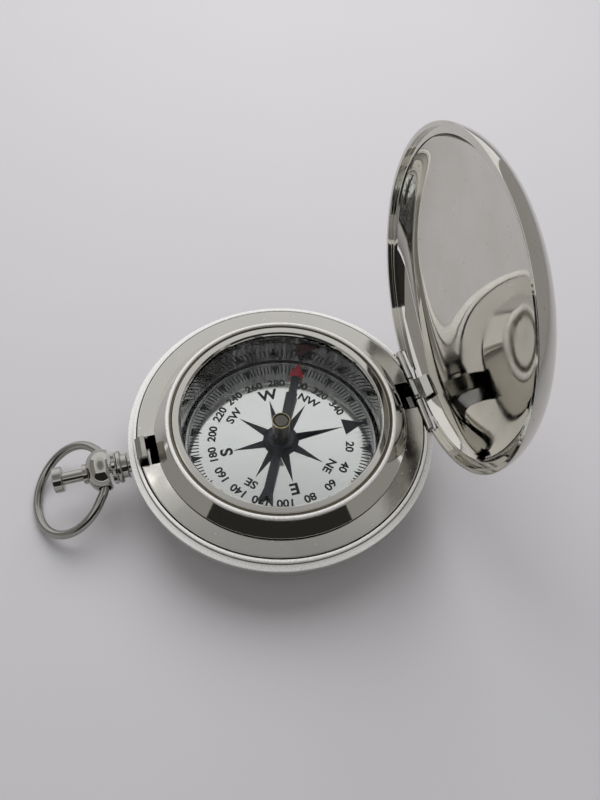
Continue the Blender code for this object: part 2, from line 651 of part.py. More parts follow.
def make_lid_knuckle(axis, bore):
    """Knuckle, an arm that lies along the lid's inner wall, and the heel that the spring lifts."""
    knuckle = rod(KNUCKLE_RADIUS, *LID_KNUCKLE_SPAN)
    bmesh.ops.rotate(knuckle, verts=knuckle.verts, cent=(0, 0, 0), matrix=Y_ALONG_Z)
    lid_knuckle = add_object("lid_knuckle", knuckle, WORN_NICKEL, parent=axis)
    corner = max(abs(LID_KNUCKLE_SPAN[0]), abs(LID_KNUCKLE_SPAN[1]))
    wall = []
    for rise in (LID_CUT_TOP, LID_CUT_TOP + ARM_LENGTH):
        seat = math.sqrt((lid_inner_radius(rise) - LID_FIT) ** 2 - corner ** 2)
        wall.append((seat - HINGE_X, rise - HINGE_RISE))
    back = [(x - ARM_THICKNESS, z) for x, z in reversed(wall)]
    arm = [(KNUCKLE_RADIUS / 2, 0), *wall, *back, (-KNUCKLE_RADIUS / 2, 0)]
    arm = add_cutter("lid_arm", extruded(arm, *LID_KNUCKLE_SPAN, along="Y"), parent=axis)
    heel_span = (HINGE_NOTCH_WIDTH / 2 - SEAT_GAP - HEEL_WIDTH, HINGE_NOTCH_WIDTH / 2 - SEAT_GAP)
    half = HEEL_THICKNESS / 2
    heel = block((-HEEL_REACH, 0), heel_span, (-half, half))
    heel = add_cutter("lid_heel", heel, rotation=(0, -HEEL_ANGLE, 0), parent=axis)
    combine(lid_knuckle, "UNION", arm, heel)
    combine(lid_knuckle, "DIFFERENCE", bore)


def make_case_knuckle(name, span, bore):
    """Half-round knuckle on a foot that stands in the hinge bed."""
    half = KNUCKLE_FOOT_WIDTH / 2
    turn = math.acos(half / KNUCKLE_RADIUS)
    foot = SEAT_GAP - HINGE_BED_DEPTH - HINGE_RISE
    outline = [(-half, foot), (half, foot)]
    outline += arc((0, 0), KNUCKLE_RADIUS, -turn, math.pi + turn, SMALL_SEGMENTS // 2)
    place = (HINGE_X, 0, RIM_HEIGHT + HINGE_RISE)
    knuckle = add_object(name, extruded(outline, *span, along="Y"), WORN_NICKEL, location=place)
    combine(knuckle, "DIFFERENCE", bore)


def make_hinge():
    place = (HINGE_X, 0, RIM_HEIGHT + HINGE_RISE)
    axis = add_axis("lid_axis", place, (0, LID_OPEN_ANGLE, 0))
    long_span = (HINGE_SPAN[0] - CUT_MARGIN, HINGE_SPAN[1] + CUT_MARGIN)
    bore = y_rod("hinge_bore", PIN_RADIUS + PIN_CLEARANCE, long_span, location=place)
    make_lid(axis)
    make_lid_knuckle(axis, bore)
    make_case_knuckle("hinge_knuckle_far", (LID_KNUCKLE_SPAN[1] + SEAT_GAP, HINGE_SPAN[1]), bore)
    make_case_knuckle("hinge_knuckle_near", (HINGE_SPAN[0], LID_KNUCKLE_SPAN[0] - SEAT_GAP), bore)
    pin = rod(PIN_RADIUS, *HINGE_SPAN)
    bmesh.ops.rotate(pin, verts=pin.verts, cent=(0, 0, 0), matrix=Y_ALONG_Z)
    add_object("hinge_pin", pin, SPRING_STEEL, location=place)


def leaf_outline(root_angle, tip_angle):
    """A curved strip seen from above, from just behind its screw to its tip."""
    back = math.copysign(LEAF_OVERHANG / LEAF_OUTER, root_angle - tip_angle)
    outer = arc((0, 0), LEAF_OUTER, root_angle + back, tip_angle, 2 * CURVE_STEPS)
    inner = arc((0, 0), LEAF_INNER, tip_angle, root_angle + back, 2 * CURVE_STEPS)
    return outer + inner


def make_spring_screw(name, angle):
    """A slotted screw along a radius, from inside the leaf into the ledge's flange."""
    head = LEAF_INNER - SEAT_GAP
    section = [
        (0, head - SPRING_SCREW_HEAD),
        (SPRING_SCREW_HEAD_RADIUS, head - SPRING_SCREW_HEAD),
        (SPRING_SCREW_HEAD_RADIUS, head),
        (SPRING_SCREW_RADIUS, head),
        (SPRING_SCREW_RADIUS, LEDGE_OUTER),
        (0, LEDGE_OUTER),
    ]
    height = RIM_HEIGHT + LEAF_MIDDLE
    turn = (0, math.pi / 2, angle)
    screw = add_object(name, turned(section, SMALL_SEGMENTS // 2), SPRING_STEEL,
                       location=(0, 0, height), rotation=turn)
    half = SPRING_SCREW_SLOT / 2
    reach = (-SPRING_SCREW_HEAD_RADIUS - CUT_MARGIN, SPRING_SCREW_HEAD_RADIUS + CUT_MARGIN)
    floor = head - SPRING_SCREW_HEAD + SPRING_SCREW_SLOT
    slot = block((-half, half), reach, (head - CUT_MARGIN, floor))
    combine(screw, "DIFFERENCE", add_cutter(f"{name}_slot", slot, location=(0, 0, height), rotation=turn))
    hole = rod(SPRING_SCREW_RADIUS + SCREW_CLEARANCE, LEAF_INNER - SEAT_GAP, LEDGE_OUTER + CUT_MARGIN,
               SMALL_SEGMENTS // 2)
    return add_cutter(f"{name}_hole", hole, location=(0, 0, height), rotation=turn)


def make_lift_spring(ledge):
    """Leaf whose tip stands in the hinge notch below the lid's heel. It rocks about its screw."""
    hole = make_spring_screw("lift_spring_screw", -LEAF_SPAN)
    screw_level = (0, 0, RIM_HEIGHT + LEAF_MIDDLE)
    half = LEAF_HEIGHT / 2
    leaf = extruded(leaf_outline(-LEAF_SPAN, 0.0), -half, half)
    spring = add_object("lift_spring", leaf, SPRING_STEEL, location=screw_level)
    finger_top = LEDGE_RISE - LIFT_TIP_DROP - LEAF_MIDDLE
    finger = block((LEAF_INNER, LEAF_INNER + LIFT_TIP_LENGTH), (-LIFT_TIP_WIDTH, 0), (-half, finger_top))
    combine(spring, "UNION", add_cutter("lift_finger", finger, location=screw_level))
    combine(spring, "DIFFERENCE", hole)
    combine(ledge, "DIFFERENCE", hole)


def hook_outline():
    """The hook seen along Y: foot on the leaf, stem, and a nose with a sloped crown."""
    nose_under = LID_FLANGE_TOP + LID_FIT + LID_FLANGE_FILLET * HOOK_BITE / LID_FLANGE_WIDTH
    nose_top = nose_under + HOOK_NOSE_LAND
    nose = LID_FLANGE_INNER + HOOK_BITE
    inner = HOOK_OUTER - HOOK_STEM
    return [
        (-HOOK_OUTER, LEAF_BOTTOM),
        (-HOOK_OUTER, nose_under),
        (-nose, nose_under),
        (-nose, nose_top),
        (HOOK_SLOPE - nose, nose_top + HOOK_CROWN),
        (-inner, nose_top + HOOK_CROWN),
        (-inner, LEAF_TOP),
        (-LEAF_INNER, LEAF_TOP),
        (-LEAF_INNER, LEAF_BOTTOM),
    ]


def make_catch_spring(ledge):
    """Leaf with the hook that holds the lid's flange, swinging about its screw."""
    root = math.pi - LEAF_SPAN
    hole = make_spring_screw("catch_spring_screw", root)
    pivot_radius = (LEAF_INNER + LEAF_OUTER) / 2
    pivot = (pivot_radius * math.cos(root), pivot_radius * math.sin(root), RIM_HEIGHT)
    leaf = extruded(leaf_outline(root, math.pi), LEAF_BOTTOM, LEAF_TOP)
    bmesh.ops.translate(leaf, verts=leaf.verts, vec=(-pivot[0], -pivot[1], 0))
    catch = add_object("catch_spring", leaf, SPRING_STEEL, location=pivot)
    hook = extruded(hook_outline(), -HOOK_WIDTH / 2, HOOK_WIDTH / 2, along="Y")
    combine(catch, "UNION", add_cutter("catch_hook", hook, location=(0, 0, RIM_HEIGHT)))
    combine(catch, "DIFFERENCE", hole)
    combine(ledge, "DIFFERENCE", hole)


PENDANT_PLACE = {"location": (0, 0, PENDANT_Z), "rotation": (0, -math.pi / 2, 0)}


def make_pendant_neck():
    """Spigot through the bowl, flared neck, round bead and a fluted collar, about the pendant axis."""
    crest = NECK_BEAD_RADIUS - NECK_BEAD_WIDTH / 2
    bead = arc((crest, BEAD_START + NECK_BEAD_WIDTH / 2), NECK_BEAD_WIDTH / 2,
               -math.pi / 2, math.pi / 2, 6)
    section = [
        (NECK_BORE, SPIGOT_END),
        (SPIGOT_RADIUS, SPIGOT_END),
        (SPIGOT_RADIUS, NECK_START),
        (NECK_RADIUS + NECK_FLARE, NECK_START),
        (NECK_RADIUS, NECK_START + NECK_FLARE),
        (NECK_RADIUS, BEAD_START),
        *bead,
        (NECK_WAIST_RADIUS, COLLAR_START),
        (NECK_WAIST_RADIUS, COLLAR_END),
        (NECK_BORE, COLLAR_END),
    ]
    neck = add_object("pendant_neck", turned(section, PENDANT_SEGMENTS), NICKEL, **PENDANT_PLACE)
    star = []
    for flute in range(COLLAR_FLUTES):
        for half, radius in ((0.0, COLLAR_RADIUS), (0.5, COLLAR_RADIUS - COLLAR_FLUTE_DEPTH)):
            angle = math.tau * (flute + half) / COLLAR_FLUTES
            star.append((radius * math.cos(angle), radius * math.sin(angle)))
    inset = COLLAR_FLUTE_DEPTH / 2
    collar = extruded(star, COLLAR_START + inset, COLLAR_END - inset)
    collar = add_cutter("fluted_collar", collar, **PENDANT_PLACE)
    bore = rod(NECK_BORE, COLLAR_START - CUT_MARGIN, COLLAR_END + CUT_MARGIN, PENDANT_SEGMENTS)
    bore = add_cutter("collar_bore", bore, **PENDANT_PLACE)
    combine(neck, "UNION", collar)
    combine(neck, "DIFFERENCE", bore)


def make_pendant_ball():
    """Ball bored for the button, with a blind socket on each side for the bow."""
    first = math.asin((BALL_START - BALL_CENTRE) / BALL_HALF_LENGTH)
    last = math.acos(BALL_MOUTH_RADIUS / BALL_RADIUS)
    curve = []
    for across, along in arc((0, 0), 1.0, first, last, CURVE_STEPS + 3):
        curve.append((BALL_RADIUS * across, BALL_CENTRE + BALL_HALF_LENGTH * along))
    bore_step = SHAFT_STEP - BUTTON_TRAVEL - SEAT_GAP
    section = [
        (NECK_BORE, BALL_START),
        *curve,
        (BALL_MOUTH_RADIUS, BALL_END),
        (SHAFT_BORE, BALL_END),
        (SHAFT_BORE, bore_step),
        (NECK_BORE, bore_step),
    ]
    ball = add_object("pendant_ball", turned(section, PENDANT_SEGMENTS), NICKEL, **PENDANT_PLACE)
    pivot = (-BALL_CENTRE, 0, PENDANT_Z)
    for side, name in ((1, "bow_socket_far"), (-1, "bow_socket_near")):
        ends = sorted((side * (BALL_RADIUS - BOW_SOCKET_DEPTH), side * (BALL_RADIUS + CUT_MARGIN)))
        combine(ball, "DIFFERENCE", y_rod(name, BOW_SOCKET_RADIUS, ends, location=pivot))


def make_push_button():
    head_end = HEAD_START + BUTTON_THICKNESS
    section = [
        (0, STEM_END),
        (STEM_RADIUS, STEM_END),
        (STEM_RADIUS, SHAFT_STEP),
        (SHAFT_RADIUS, SHAFT_STEP),
        (SHAFT_RADIUS, HEAD_START),
        (BUTTON_RADIUS - BUTTON_ROUND, HEAD_START),
        (BUTTON_RADIUS, HEAD_START + BUTTON_ROUND),
        (BUTTON_RADIUS, head_end - BUTTON_ROUND),
        (BUTTON_RADIUS - BUTTON_ROUND, head_end),
        (0, head_end),
    ]
    add_object("push_button", turned(section, PENDANT_SEGMENTS), NICKEL, **PENDANT_PLACE)
    clip = [
        (STEM_RADIUS + SHAFT_CLEARANCE, CLIP_END),
        (CLIP_RADIUS, CLIP_END),
        (CLIP_RADIUS, CLIP_END + CLIP_THICKNESS),
        (STEM_RADIUS + SHAFT_CLEARANCE, CLIP_END + CLIP_THICKNESS),
    ]
    add_object("button_clip", turned(clip, SMALL_SEGMENTS), SPRING_STEEL, **PENDANT_PLACE)


def bow_route():
    """Centre line of the bow in its own plane: pin, bend, ring, bend, pin."""
    pin_end = BALL_RADIUS - BOW_SOCKET_DEPTH + SEAT_GAP
    bend = BALL_RADIUS + BOW_BEND_GAP
    ring = arc((-BOW_CENTRE, 0), BOW_RADIUS, BOW_BEND_ANGLE, math.tau - BOW_BEND_ANGLE, BOW_STEPS)
    first = [(0, pin_end), (0, (pin_end + bend) / 2), (0, bend)]
    last = [(x, -y) for x, y in reversed(first)]
    return first + ring + last


def make_bow():
    curve = bpy.data.curves.new("bow_ring", "CURVE")
    curve.dimensions = "3D"
    curve.bevel_depth = BOW_WIRE_RADIUS
    curve.bevel_resolution = 2
    curve.use_fill_caps = True
    route = bow_route()
    spline = curve.splines.new("POLY")
    spline.points.add(len(route) - 1)
    for point, (x, y) in zip(spline.points, route):
        point.co = (x, y, 0, 1)
    spline.use_smooth = True
    curve.materials.append(make_material("bow_ring", *NICKEL))
    bow = bpy.data.objects.new("bow_ring", curve)
    bpy.context.scene.collection.objects.link(bow)
    bow.location = (-BALL_CENTRE, 0, PENDANT_Z)
    bow.rotation_euler = (0, -BOW_DROOP, 0)


def build():
    clear_scene()
    bed = hinge_bed()
    notches = (
        edge_notch("catch_notch", -1, CATCH_NOTCH_INNER, CATCH_NOTCH_WIDTH),
        edge_notch("hinge_notch", 1, HINGE_NOTCH_INNER, HINGE_NOTCH_WIDTH),
    )
    make_case_bowl(bed)
    ledge = make_ledge_ring(bed, notches)
    make_bezel(notches)
    make_glass_and_dial()
    make_needle()
    make_hinge()
    make_lift_spring(ledge)
    make_catch_spring(ledge)
    make_pendant_neck()
    make_pendant_ball()
    make_push_button()
    make_bow()


build()
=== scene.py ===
"""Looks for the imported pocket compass: shells over the CAD solids, finishes, floor, light and camera.

Lengths are in metres, in the frame of the CAD part: the origin is the centre of the flat back, +Z is
up through the dial, and +X points from the pendant to the lid's hinge. A "rise" is counted upwards
from the widest edge of the case rim.
"""

import json
import math

import bmesh
import bpy
from mathutils import Matrix, Vector


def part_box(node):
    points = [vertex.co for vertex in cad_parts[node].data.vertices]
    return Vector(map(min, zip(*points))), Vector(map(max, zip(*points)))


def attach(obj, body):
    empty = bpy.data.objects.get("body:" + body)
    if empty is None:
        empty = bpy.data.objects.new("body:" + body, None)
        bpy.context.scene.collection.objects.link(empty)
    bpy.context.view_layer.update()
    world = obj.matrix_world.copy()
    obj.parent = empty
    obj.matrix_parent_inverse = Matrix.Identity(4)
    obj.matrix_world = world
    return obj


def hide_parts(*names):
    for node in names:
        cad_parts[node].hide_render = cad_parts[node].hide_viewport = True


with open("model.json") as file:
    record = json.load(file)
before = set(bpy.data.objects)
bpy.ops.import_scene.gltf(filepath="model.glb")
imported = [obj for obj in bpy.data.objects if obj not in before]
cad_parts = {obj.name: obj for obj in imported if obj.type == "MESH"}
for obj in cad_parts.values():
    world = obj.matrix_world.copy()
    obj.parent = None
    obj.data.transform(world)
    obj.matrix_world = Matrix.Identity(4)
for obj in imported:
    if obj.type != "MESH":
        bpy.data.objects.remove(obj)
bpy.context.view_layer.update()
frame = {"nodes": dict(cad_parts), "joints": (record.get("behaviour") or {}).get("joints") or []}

MM = 0.001
JOINTS = {joint["name"]: joint for joint in frame["joints"]}


def reach(node):
    """How far a node stands out along +Y."""
    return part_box(node)[1].y


def top(node):
    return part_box(node)[1].z


def bottom(node):
    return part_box(node)[0].z


# Places that the frame gives
RIM_BEAD_RISE = 1.05 * MM
RIM_RADIUS = reach("case_bowl")
BEAD_TOP = top("case_bowl")
RIM_LEVEL = BEAD_TOP - RIM_BEAD_RISE
LEDGE_OUTER = reach("ledge_ring")
LEDGE_TOP = top("ledge_ring")
SKIRT_RADIUS = reach("bezel")
BEZEL_TOP = top("bezel")
BEZEL_BOTTOM = bottom("bezel")
GLASS_RADIUS = reach("crystal")
GLASS_TOP = top("crystal")
GLASS_BOTTOM = bottom("crystal")
CUP_RADIUS = reach("dial_cup")
CUP_TOP = top("dial_cup")
CUP_BOTTOM = bottom("dial_cup")
DIAL_RADIUS = reach("dial")
DIAL_TOP = top("dial")
DIAL_BOTTOM = bottom("dial")
NEEDLE_TOP = top("needle")
NEEDLE_BOTTOM = bottom("needle")
CAP_TOP = top("needle_cap")
HINGE = Vector(JOINTS["lid_hinge"]["pos_m"])
LID_OPEN_ANGLE = -math.radians(JOINTS["lid_hinge"]["range_deg"][0])
BALL_CENTRE = -JOINTS["bow_swing"]["pos_m"][0]
PENDANT_LEVEL = JOINTS["bow_swing"]["pos_m"][2]
BUTTON_END = -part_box("push_button")[0].x
STEM_END = -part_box("push_button")[1].x
NECK_INNER_END = -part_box("pendant_neck")[1].x
COLLAR_END = -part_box("pendant_neck")[0].x
BALL_START = -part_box("pendant_ball")[1].x
BALL_END = -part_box("pendant_ball")[0].x

# Case, ledge and bezel sections
BACK_FLAT_RADIUS = 14.0 * MM
BOWL_FULLNESS = 2.5
CASE_WALL = 0.8 * MM
RIM_LAND_WIDTH = 1.0 * MM
RIM_LAND_RISE = 0.4 * MM
RIM_BEAD_WIDTH = 0.5 * MM
RIM_LIP_DEPTH = 0.2 * MM
RIM_EDGE = 0.14 * MM
LEDGE_THICKNESS = 0.6 * MM
LEDGE_EDGE = 0.16 * MM
LEDGE_FLANGE = 0.6 * MM
LEDGE_SEAM = 0.2 * MM
SEAT_GAP = 0.3 * MM
SKIRT_INSET = 2.0 * MM
SKIRT_EDGE = 0.08 * MM
BEZEL_BEAD_RADIUS = 0.38 * MM
BEZEL_GROOVE_DEPTH = 0.3 * MM
BEZEL_RIDGE_WIDTH = 0.45 * MM
BEZEL_LIP = 1.0 * MM
BEZEL_WIDTH = 4.4 * MM
BEZEL_LIP_THICKNESS = 0.45 * MM
BEZEL_LIP_DROP = 0.3 * MM
BEZEL_WALL = 0.8 * MM
BEZEL_EDGE = 0.1 * MM
CUP_WALL = 0.4 * MM
CUP_FLOOR = 0.5 * MM
POST_HOLE = 0.75 * MM
CATCH_NOTCH_WIDTH = 5.3 * MM
CATCH_NOTCH_INNER = 20.3 * MM
HINGE_NOTCH_WIDTH = 5.2 * MM
HINGE_NOTCH_INNER = 20.0 * MM
NOTCH_RISE = 0.35 * MM

# Lid and hinge
LID_RISE = 6.08 * MM
LID_CROWN = 0.75 * MM
LID_FULLNESS = 8.0
LID_SHOULDER = 1.6
LID_WALL = 0.6 * MM
LID_FIT = 0.3 * MM
LID_FLANGE_WIDTH = 1.05 * MM
LID_FLANGE_THICKNESS = 0.4 * MM
LID_FLANGE_FILLET = 0.3 * MM
LID_EDGE = 0.12 * MM
HINGE_SPAN = (-7.2 * MM, 9.4 * MM)
HINGE_BED_INSET = 0.9 * MM
HINGE_BED_DEPTH = 0.9 * MM

# Pendant, button and bow
NECK_RADIUS = 1.95 * MM
NECK_FLARE = 0.3 * MM
NECK_LENGTH = 1.05 * MM
NECK_BEAD_RADIUS = 2.65 * MM
NECK_BEAD_WIDTH = 0.9 * MM
NECK_WAIST_RADIUS = 2.15 * MM
NECK_BORE = 0.85 * MM
SPIGOT_RADIUS = 1.25 * MM
COLLAR_RADIUS = 2.6 * MM
COLLAR_FLUTES = 18
COLLAR_FLUTE_DEPTH = 0.22 * MM
BALL_RADIUS = 3.5 * MM
BALL_HALF_LENGTH = 2.75 * MM
BALL_MOUTH_RADIUS = 1.6 * MM
BALL_BORE = 1.15 * MM
BALL_STEP_DEPTH = 2.3 * MM
STEM_RADIUS = 0.65 * MM
SHAFT_RADIUS = 1.0 * MM
BUTTON_TRAVEL = 1.0 * MM
BUTTON_RADIUS = 2.05 * MM
BUTTON_THICKNESS = 1.5 * MM
BUTTON_EDGE = 0.22 * MM
BOW_WIRE_RADIUS = 0.75 * MM
BOW_RADIUS = 7.53 * MM
BOW_CENTRE = 7.06 * MM
BOW_SOCKET_RADIUS = 1.0 * MM
BOW_SOCKET_DEPTH = 1.8 * MM
BOW_BEND_GAP = 0.1 * MM
BOW_BEND_ROUND = 0.8 * MM
BOW_BEND_ANGLE = math.radians(40.0)
TABLE_GAP = 0.05 * MM

# Needle
NEEDLE_ANGLE = math.radians(64.0)
NEEDLE_REACH = 15.9 * MM
NEEDLE_HEAD_LENGTH = 3.0 * MM
NEEDLE_HEAD_WIDTH = 2.8 * MM
NEEDLE_NECK_WIDTH = 1.3 * MM
NEEDLE_NECK_LENGTH = 3.6 * MM
NEEDLE_BAR_WIDTH = 2.0 * MM
NEEDLE_HUB_RADIUS = 2.2 * MM
NEEDLE_WAIST_WIDTH = 1.5 * MM
NEEDLE_TAIL_REACH = 12.2 * MM
NEEDLE_TAIL_LENGTH = 2.4 * MM
NEEDLE_TAIL_WIDTH = 2.6 * MM
NEEDLE_TAIL_SLIT = 0.001 * MM
NEEDLE_HOLE = 1.15 * MM
NEEDLE_EDGE = 0.05 * MM
KEPT_EDGE = 0.06 * MM
CAP_RADIUS = 1.48 * MM
CAP_RIM = 0.2 * MM
CAP_BORE = 0.75 * MM
CAP_RECESS_DEPTH = 0.8 * MM
CAP_EDGE = 0.08 * MM
CAP_SEAM = 0.03 * MM

# Dial print, and painted highlights beside the rose's rays
INK_THICKNESS = 0.03 * MM
INK_SINK = 0.01 * MM
ROSE_HUB_RADIUS = 3.05 * MM
ROSE_RAY_REACH = 8.3 * MM
ROSE_RAY_WIDTH = 1.5 * MM
ROSE_LINE_WIDTH = 0.12 * MM
ROSE_LINE_GAP = 0.2
ROSE_FOOT = 0.9
ROSE_STEP = 45
NORTH_BASE = 11.1 * MM
NORTH_TIP = 14.8 * MM
NORTH_HALF_WIDTH = 1.6 * MM
CARDINAL_RADIUS = 9.3 * MM
CARDINAL_SIZE = 2.8 * MM
CORNER_RADIUS = 9.4 * MM
CORNER_SIZE = 1.95 * MM
NUMERAL_RADIUS = 11.65 * MM
NUMERAL_SIZE = 1.85 * MM
BOLDNESS = 0.034
WORD_WIDTH = 1.1
WEDGE_INNER = 13.4 * MM
WEDGE_OUTER = 15.4 * MM
WEDGE_HALF_WIDTH = 0.62 * MM
TICK_INNER = 13.9 * MM
TICK_WIDTH = 0.2 * MM
FINE_INNER = 15.5 * MM
FINE_OUTER = 15.8 * MM
FINE_WIDTH = 0.13 * MM
FINE_TICKS = 288
TICK_EVERY = 2
WEDGE_EVERY = 16
DIAL_STEP = 20
CARDINALS = {90: "E", 180: "S", 270: "W"}
CORNERS = {45: "NE", 135: "SE", 225: "SW", 315: "NW"}

# Facets
SEGMENTS = 160
PENDANT_SEGMENTS = 108
CURVE_STEPS = 40
CROWN_STEPS = 12
BEAD_STEPS = 16
HUB_STEPS = 32
BOW_STEPS = 140
BEND_STEPS = 10
WIRE_SIDES = 24
BEVEL_STEPS = 3
HALVINGS = 40
FILLET_STEPS = 5
FILLET_SHARE = 0.45
SUPPORT = 0.05 * MM
SUPPORT_ROOM = 4 * SUPPORT
SHARP_ANGLE = math.radians(35.0)
CUT_MARGIN = 2.0 * MM
HAIR = 0.01 * MM
WELD = 1e-8


# Shapes

def turned(section, segments=SEGMENTS):
    """A solid of revolution about Z from a closed section of (radius, height) points."""
    bm = bmesh.new()
    verts = [bm.verts.new((radius, 0, height)) for radius, height in section]
    edges = []
    for start, end in zip(verts, verts[1:] + verts[:1]):
        if start.co.x > 0 or end.co.x > 0:
            edges.append(bm.edges.new((start, end)))
    bmesh.ops.spin(bm, geom=verts + edges, cent=(0, 0, 0), axis=(0, 0, 1),
                   angle=math.tau, steps=segments, use_merge=True)
    bmesh.ops.remove_doubles(bm, verts=bm.verts, dist=WELD)
    return bm


def rounded(corners):
    """Points of a closed section. A corner is (radius, height), or (radius, height, fillet)."""
    points = []
    for index, corner in enumerate(corners):
        here = Vector(corner[:2])
        if len(corner) == 2:
            points.append(here)
            continue
        back = Vector(corners[index - 1][:2]) - here
        ahead = Vector(corners[(index + 1) % len(corners)][:2]) - here
        setback = corner[2] / math.tan(back.angle(ahead) / 2)
        setback = min(setback, FILLET_SHARE * back.length, FILLET_SHARE * ahead.length)
        start = here + back.normalized() * setback
        end = here + ahead.normalized() * setback
        if back.length > setback + SUPPORT_ROOM:
            points.append(start + back.normalized() * SUPPORT)
        for step in range(FILLET_STEPS + 1):
            share = step / FILLET_STEPS
            points.append(start.lerp(here, share).lerp(here.lerp(end, share), share))
        if ahead.length > setback + SUPPORT_ROOM:
            points.append(end + ahead.normalized() * SUPPORT)
    return points


def arc(centre, radius, start, end, steps):
    """Points on a circle from one angle to another, both included."""
    points = []
    for step in range(steps + 1):
        angle = start + (end - start) * step / steps
        points.append((centre[0] + radius * math.cos(angle), centre[1] + radius * math.sin(angle)))
    return points


def prism(outline, low, high, bm=None):
    """An upright prism on an outline in XY, added to bm if one is given."""
    bm = bm or bmesh.new()
    face = bm.faces.new([bm.verts.new((x, y, low)) for x, y in outline])
    grown = bmesh.ops.extrude_face_region(bm, geom=[face])
    moved = [item for item in grown["geom"] if isinstance(item, bmesh.types.BMVert)]
    bmesh.ops.translate(bm, verts=moved, vec=(0, 0, high - low))
    return bm


def block(x, y, z):
    """A box from three (low, high) pairs."""
    corners = [(x[0], y[0]), (x[1], y[0]), (x[1], y[1]), (x[0], y[1])]
    return prism(corners, z[0], z[1])


def bowl_curve(top_radius, flat_depth, start_depth):
    """(radius, depth) points from a start depth down to the edge of the flat back."""
    share = 1 - (BACK_FLAT_RADIUS / top_radius) ** 2
    closing = flat_depth / share ** (1 / BOWL_FULLNESS)
    first = math.asin((start_depth / closing) ** (BOWL_FULLNESS / 2))
    last = math.acos(BACK_FLAT_RADIUS / top_radius)
    points = []
    for step in range(CURVE_STEPS + 1):
        angle = first + (last - first) * step / CURVE_STEPS
        depth = closing * math.sin(angle) ** (2 / BOWL_FULLNESS)
        points.append((top_radius * math.cos(angle), depth))
    return points


def dome_point(angle, base_radius, rise):
    """(radius, height) on the lid's section: angle 0 at the foot, a quarter turn at the crown."""
    share = math.cos(angle) ** (2 / LID_FULLNESS)
    height = (rise - LID_CROWN * share ** 2) * math.sin(angle) ** (2 / LID_SHOULDER)
    return base_radius * share, height


def dome_curve(base_radius, rise, start_height):
    """(radius, height) points from a start height up to the crown."""
    low, high = 0, math.pi / 2
    for _ in range(HALVINGS):
        first = (low + high) / 2
        if dome_point(first, 1, rise)[1] < start_height:
            low = first
        else:
            high = first
    points = []
    for step in range(CURVE_STEPS):
        angle = first + (math.pi / 2 - first) * step / CURVE_STEPS
        points.append(dome_point(angle, base_radius, rise))
    outermost = points[-1][0]
    for step in range(1, CROWN_STEPS):
        share = 1 - step / CROWN_STEPS
        angle = math.acos((outermost * share / base_radius) ** (LID_FULLNESS / 2))
        points.append(dome_point(angle, base_radius, rise))
    return points + [(0, rise)]


# Pieces

def new_object(name, bm):
    mesh = bpy.data.meshes.new(name)
    bmesh.ops.recalc_face_normals(bm, faces=bm.faces)
    bm.to_mesh(mesh)
    bm.free()
    obj = bpy.data.objects.new(name, mesh)
    bpy.context.scene.collection.objects.link(obj)
    return obj


def smooth(obj):
    obj.data.shade_smooth()
    obj.data.set_sharp_from_angle(angle=SHARP_ANGLE)


def carve(obj, *cutters):
    """Cuts the cutters out of a piece's mesh and removes them."""
    tools = [new_object("cutter", cutter) for cutter in cutters]
    for tool in tools:
        modifier = obj.modifiers.new("cut", "BOOLEAN")
        modifier.solver = "EXACT"
        modifier.object = tool
    graph = bpy.context.evaluated_depsgraph_get()
    mesh = bpy.data.meshes.new_from_object(obj.evaluated_get(graph))
    obj.modifiers.clear()
    obj.data = mesh
    for tool in tools:
        bpy.data.objects.remove(tool)


def add_piece(name, bm, material, body, replaces=(), cutters=(), place=None):
    """A finished piece that moves with a body and stands for the CAD nodes named."""
    piece = new_object(name, bm)
    if cutters:
        carve(piece, *cutters)
    if place is not None:
        piece.data.transform(place)
    smooth(piece)
    piece.data.materials.clear()
    piece.data.materials.append(material)
    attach(piece, body)
    if replaces:
        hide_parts(*replaces)
    return piece


# Finishes

# A Mix node's colour sockets, which share their names with those of its other types
MIX_COLOURS = (6, 7)
MIX_RESULT = 2


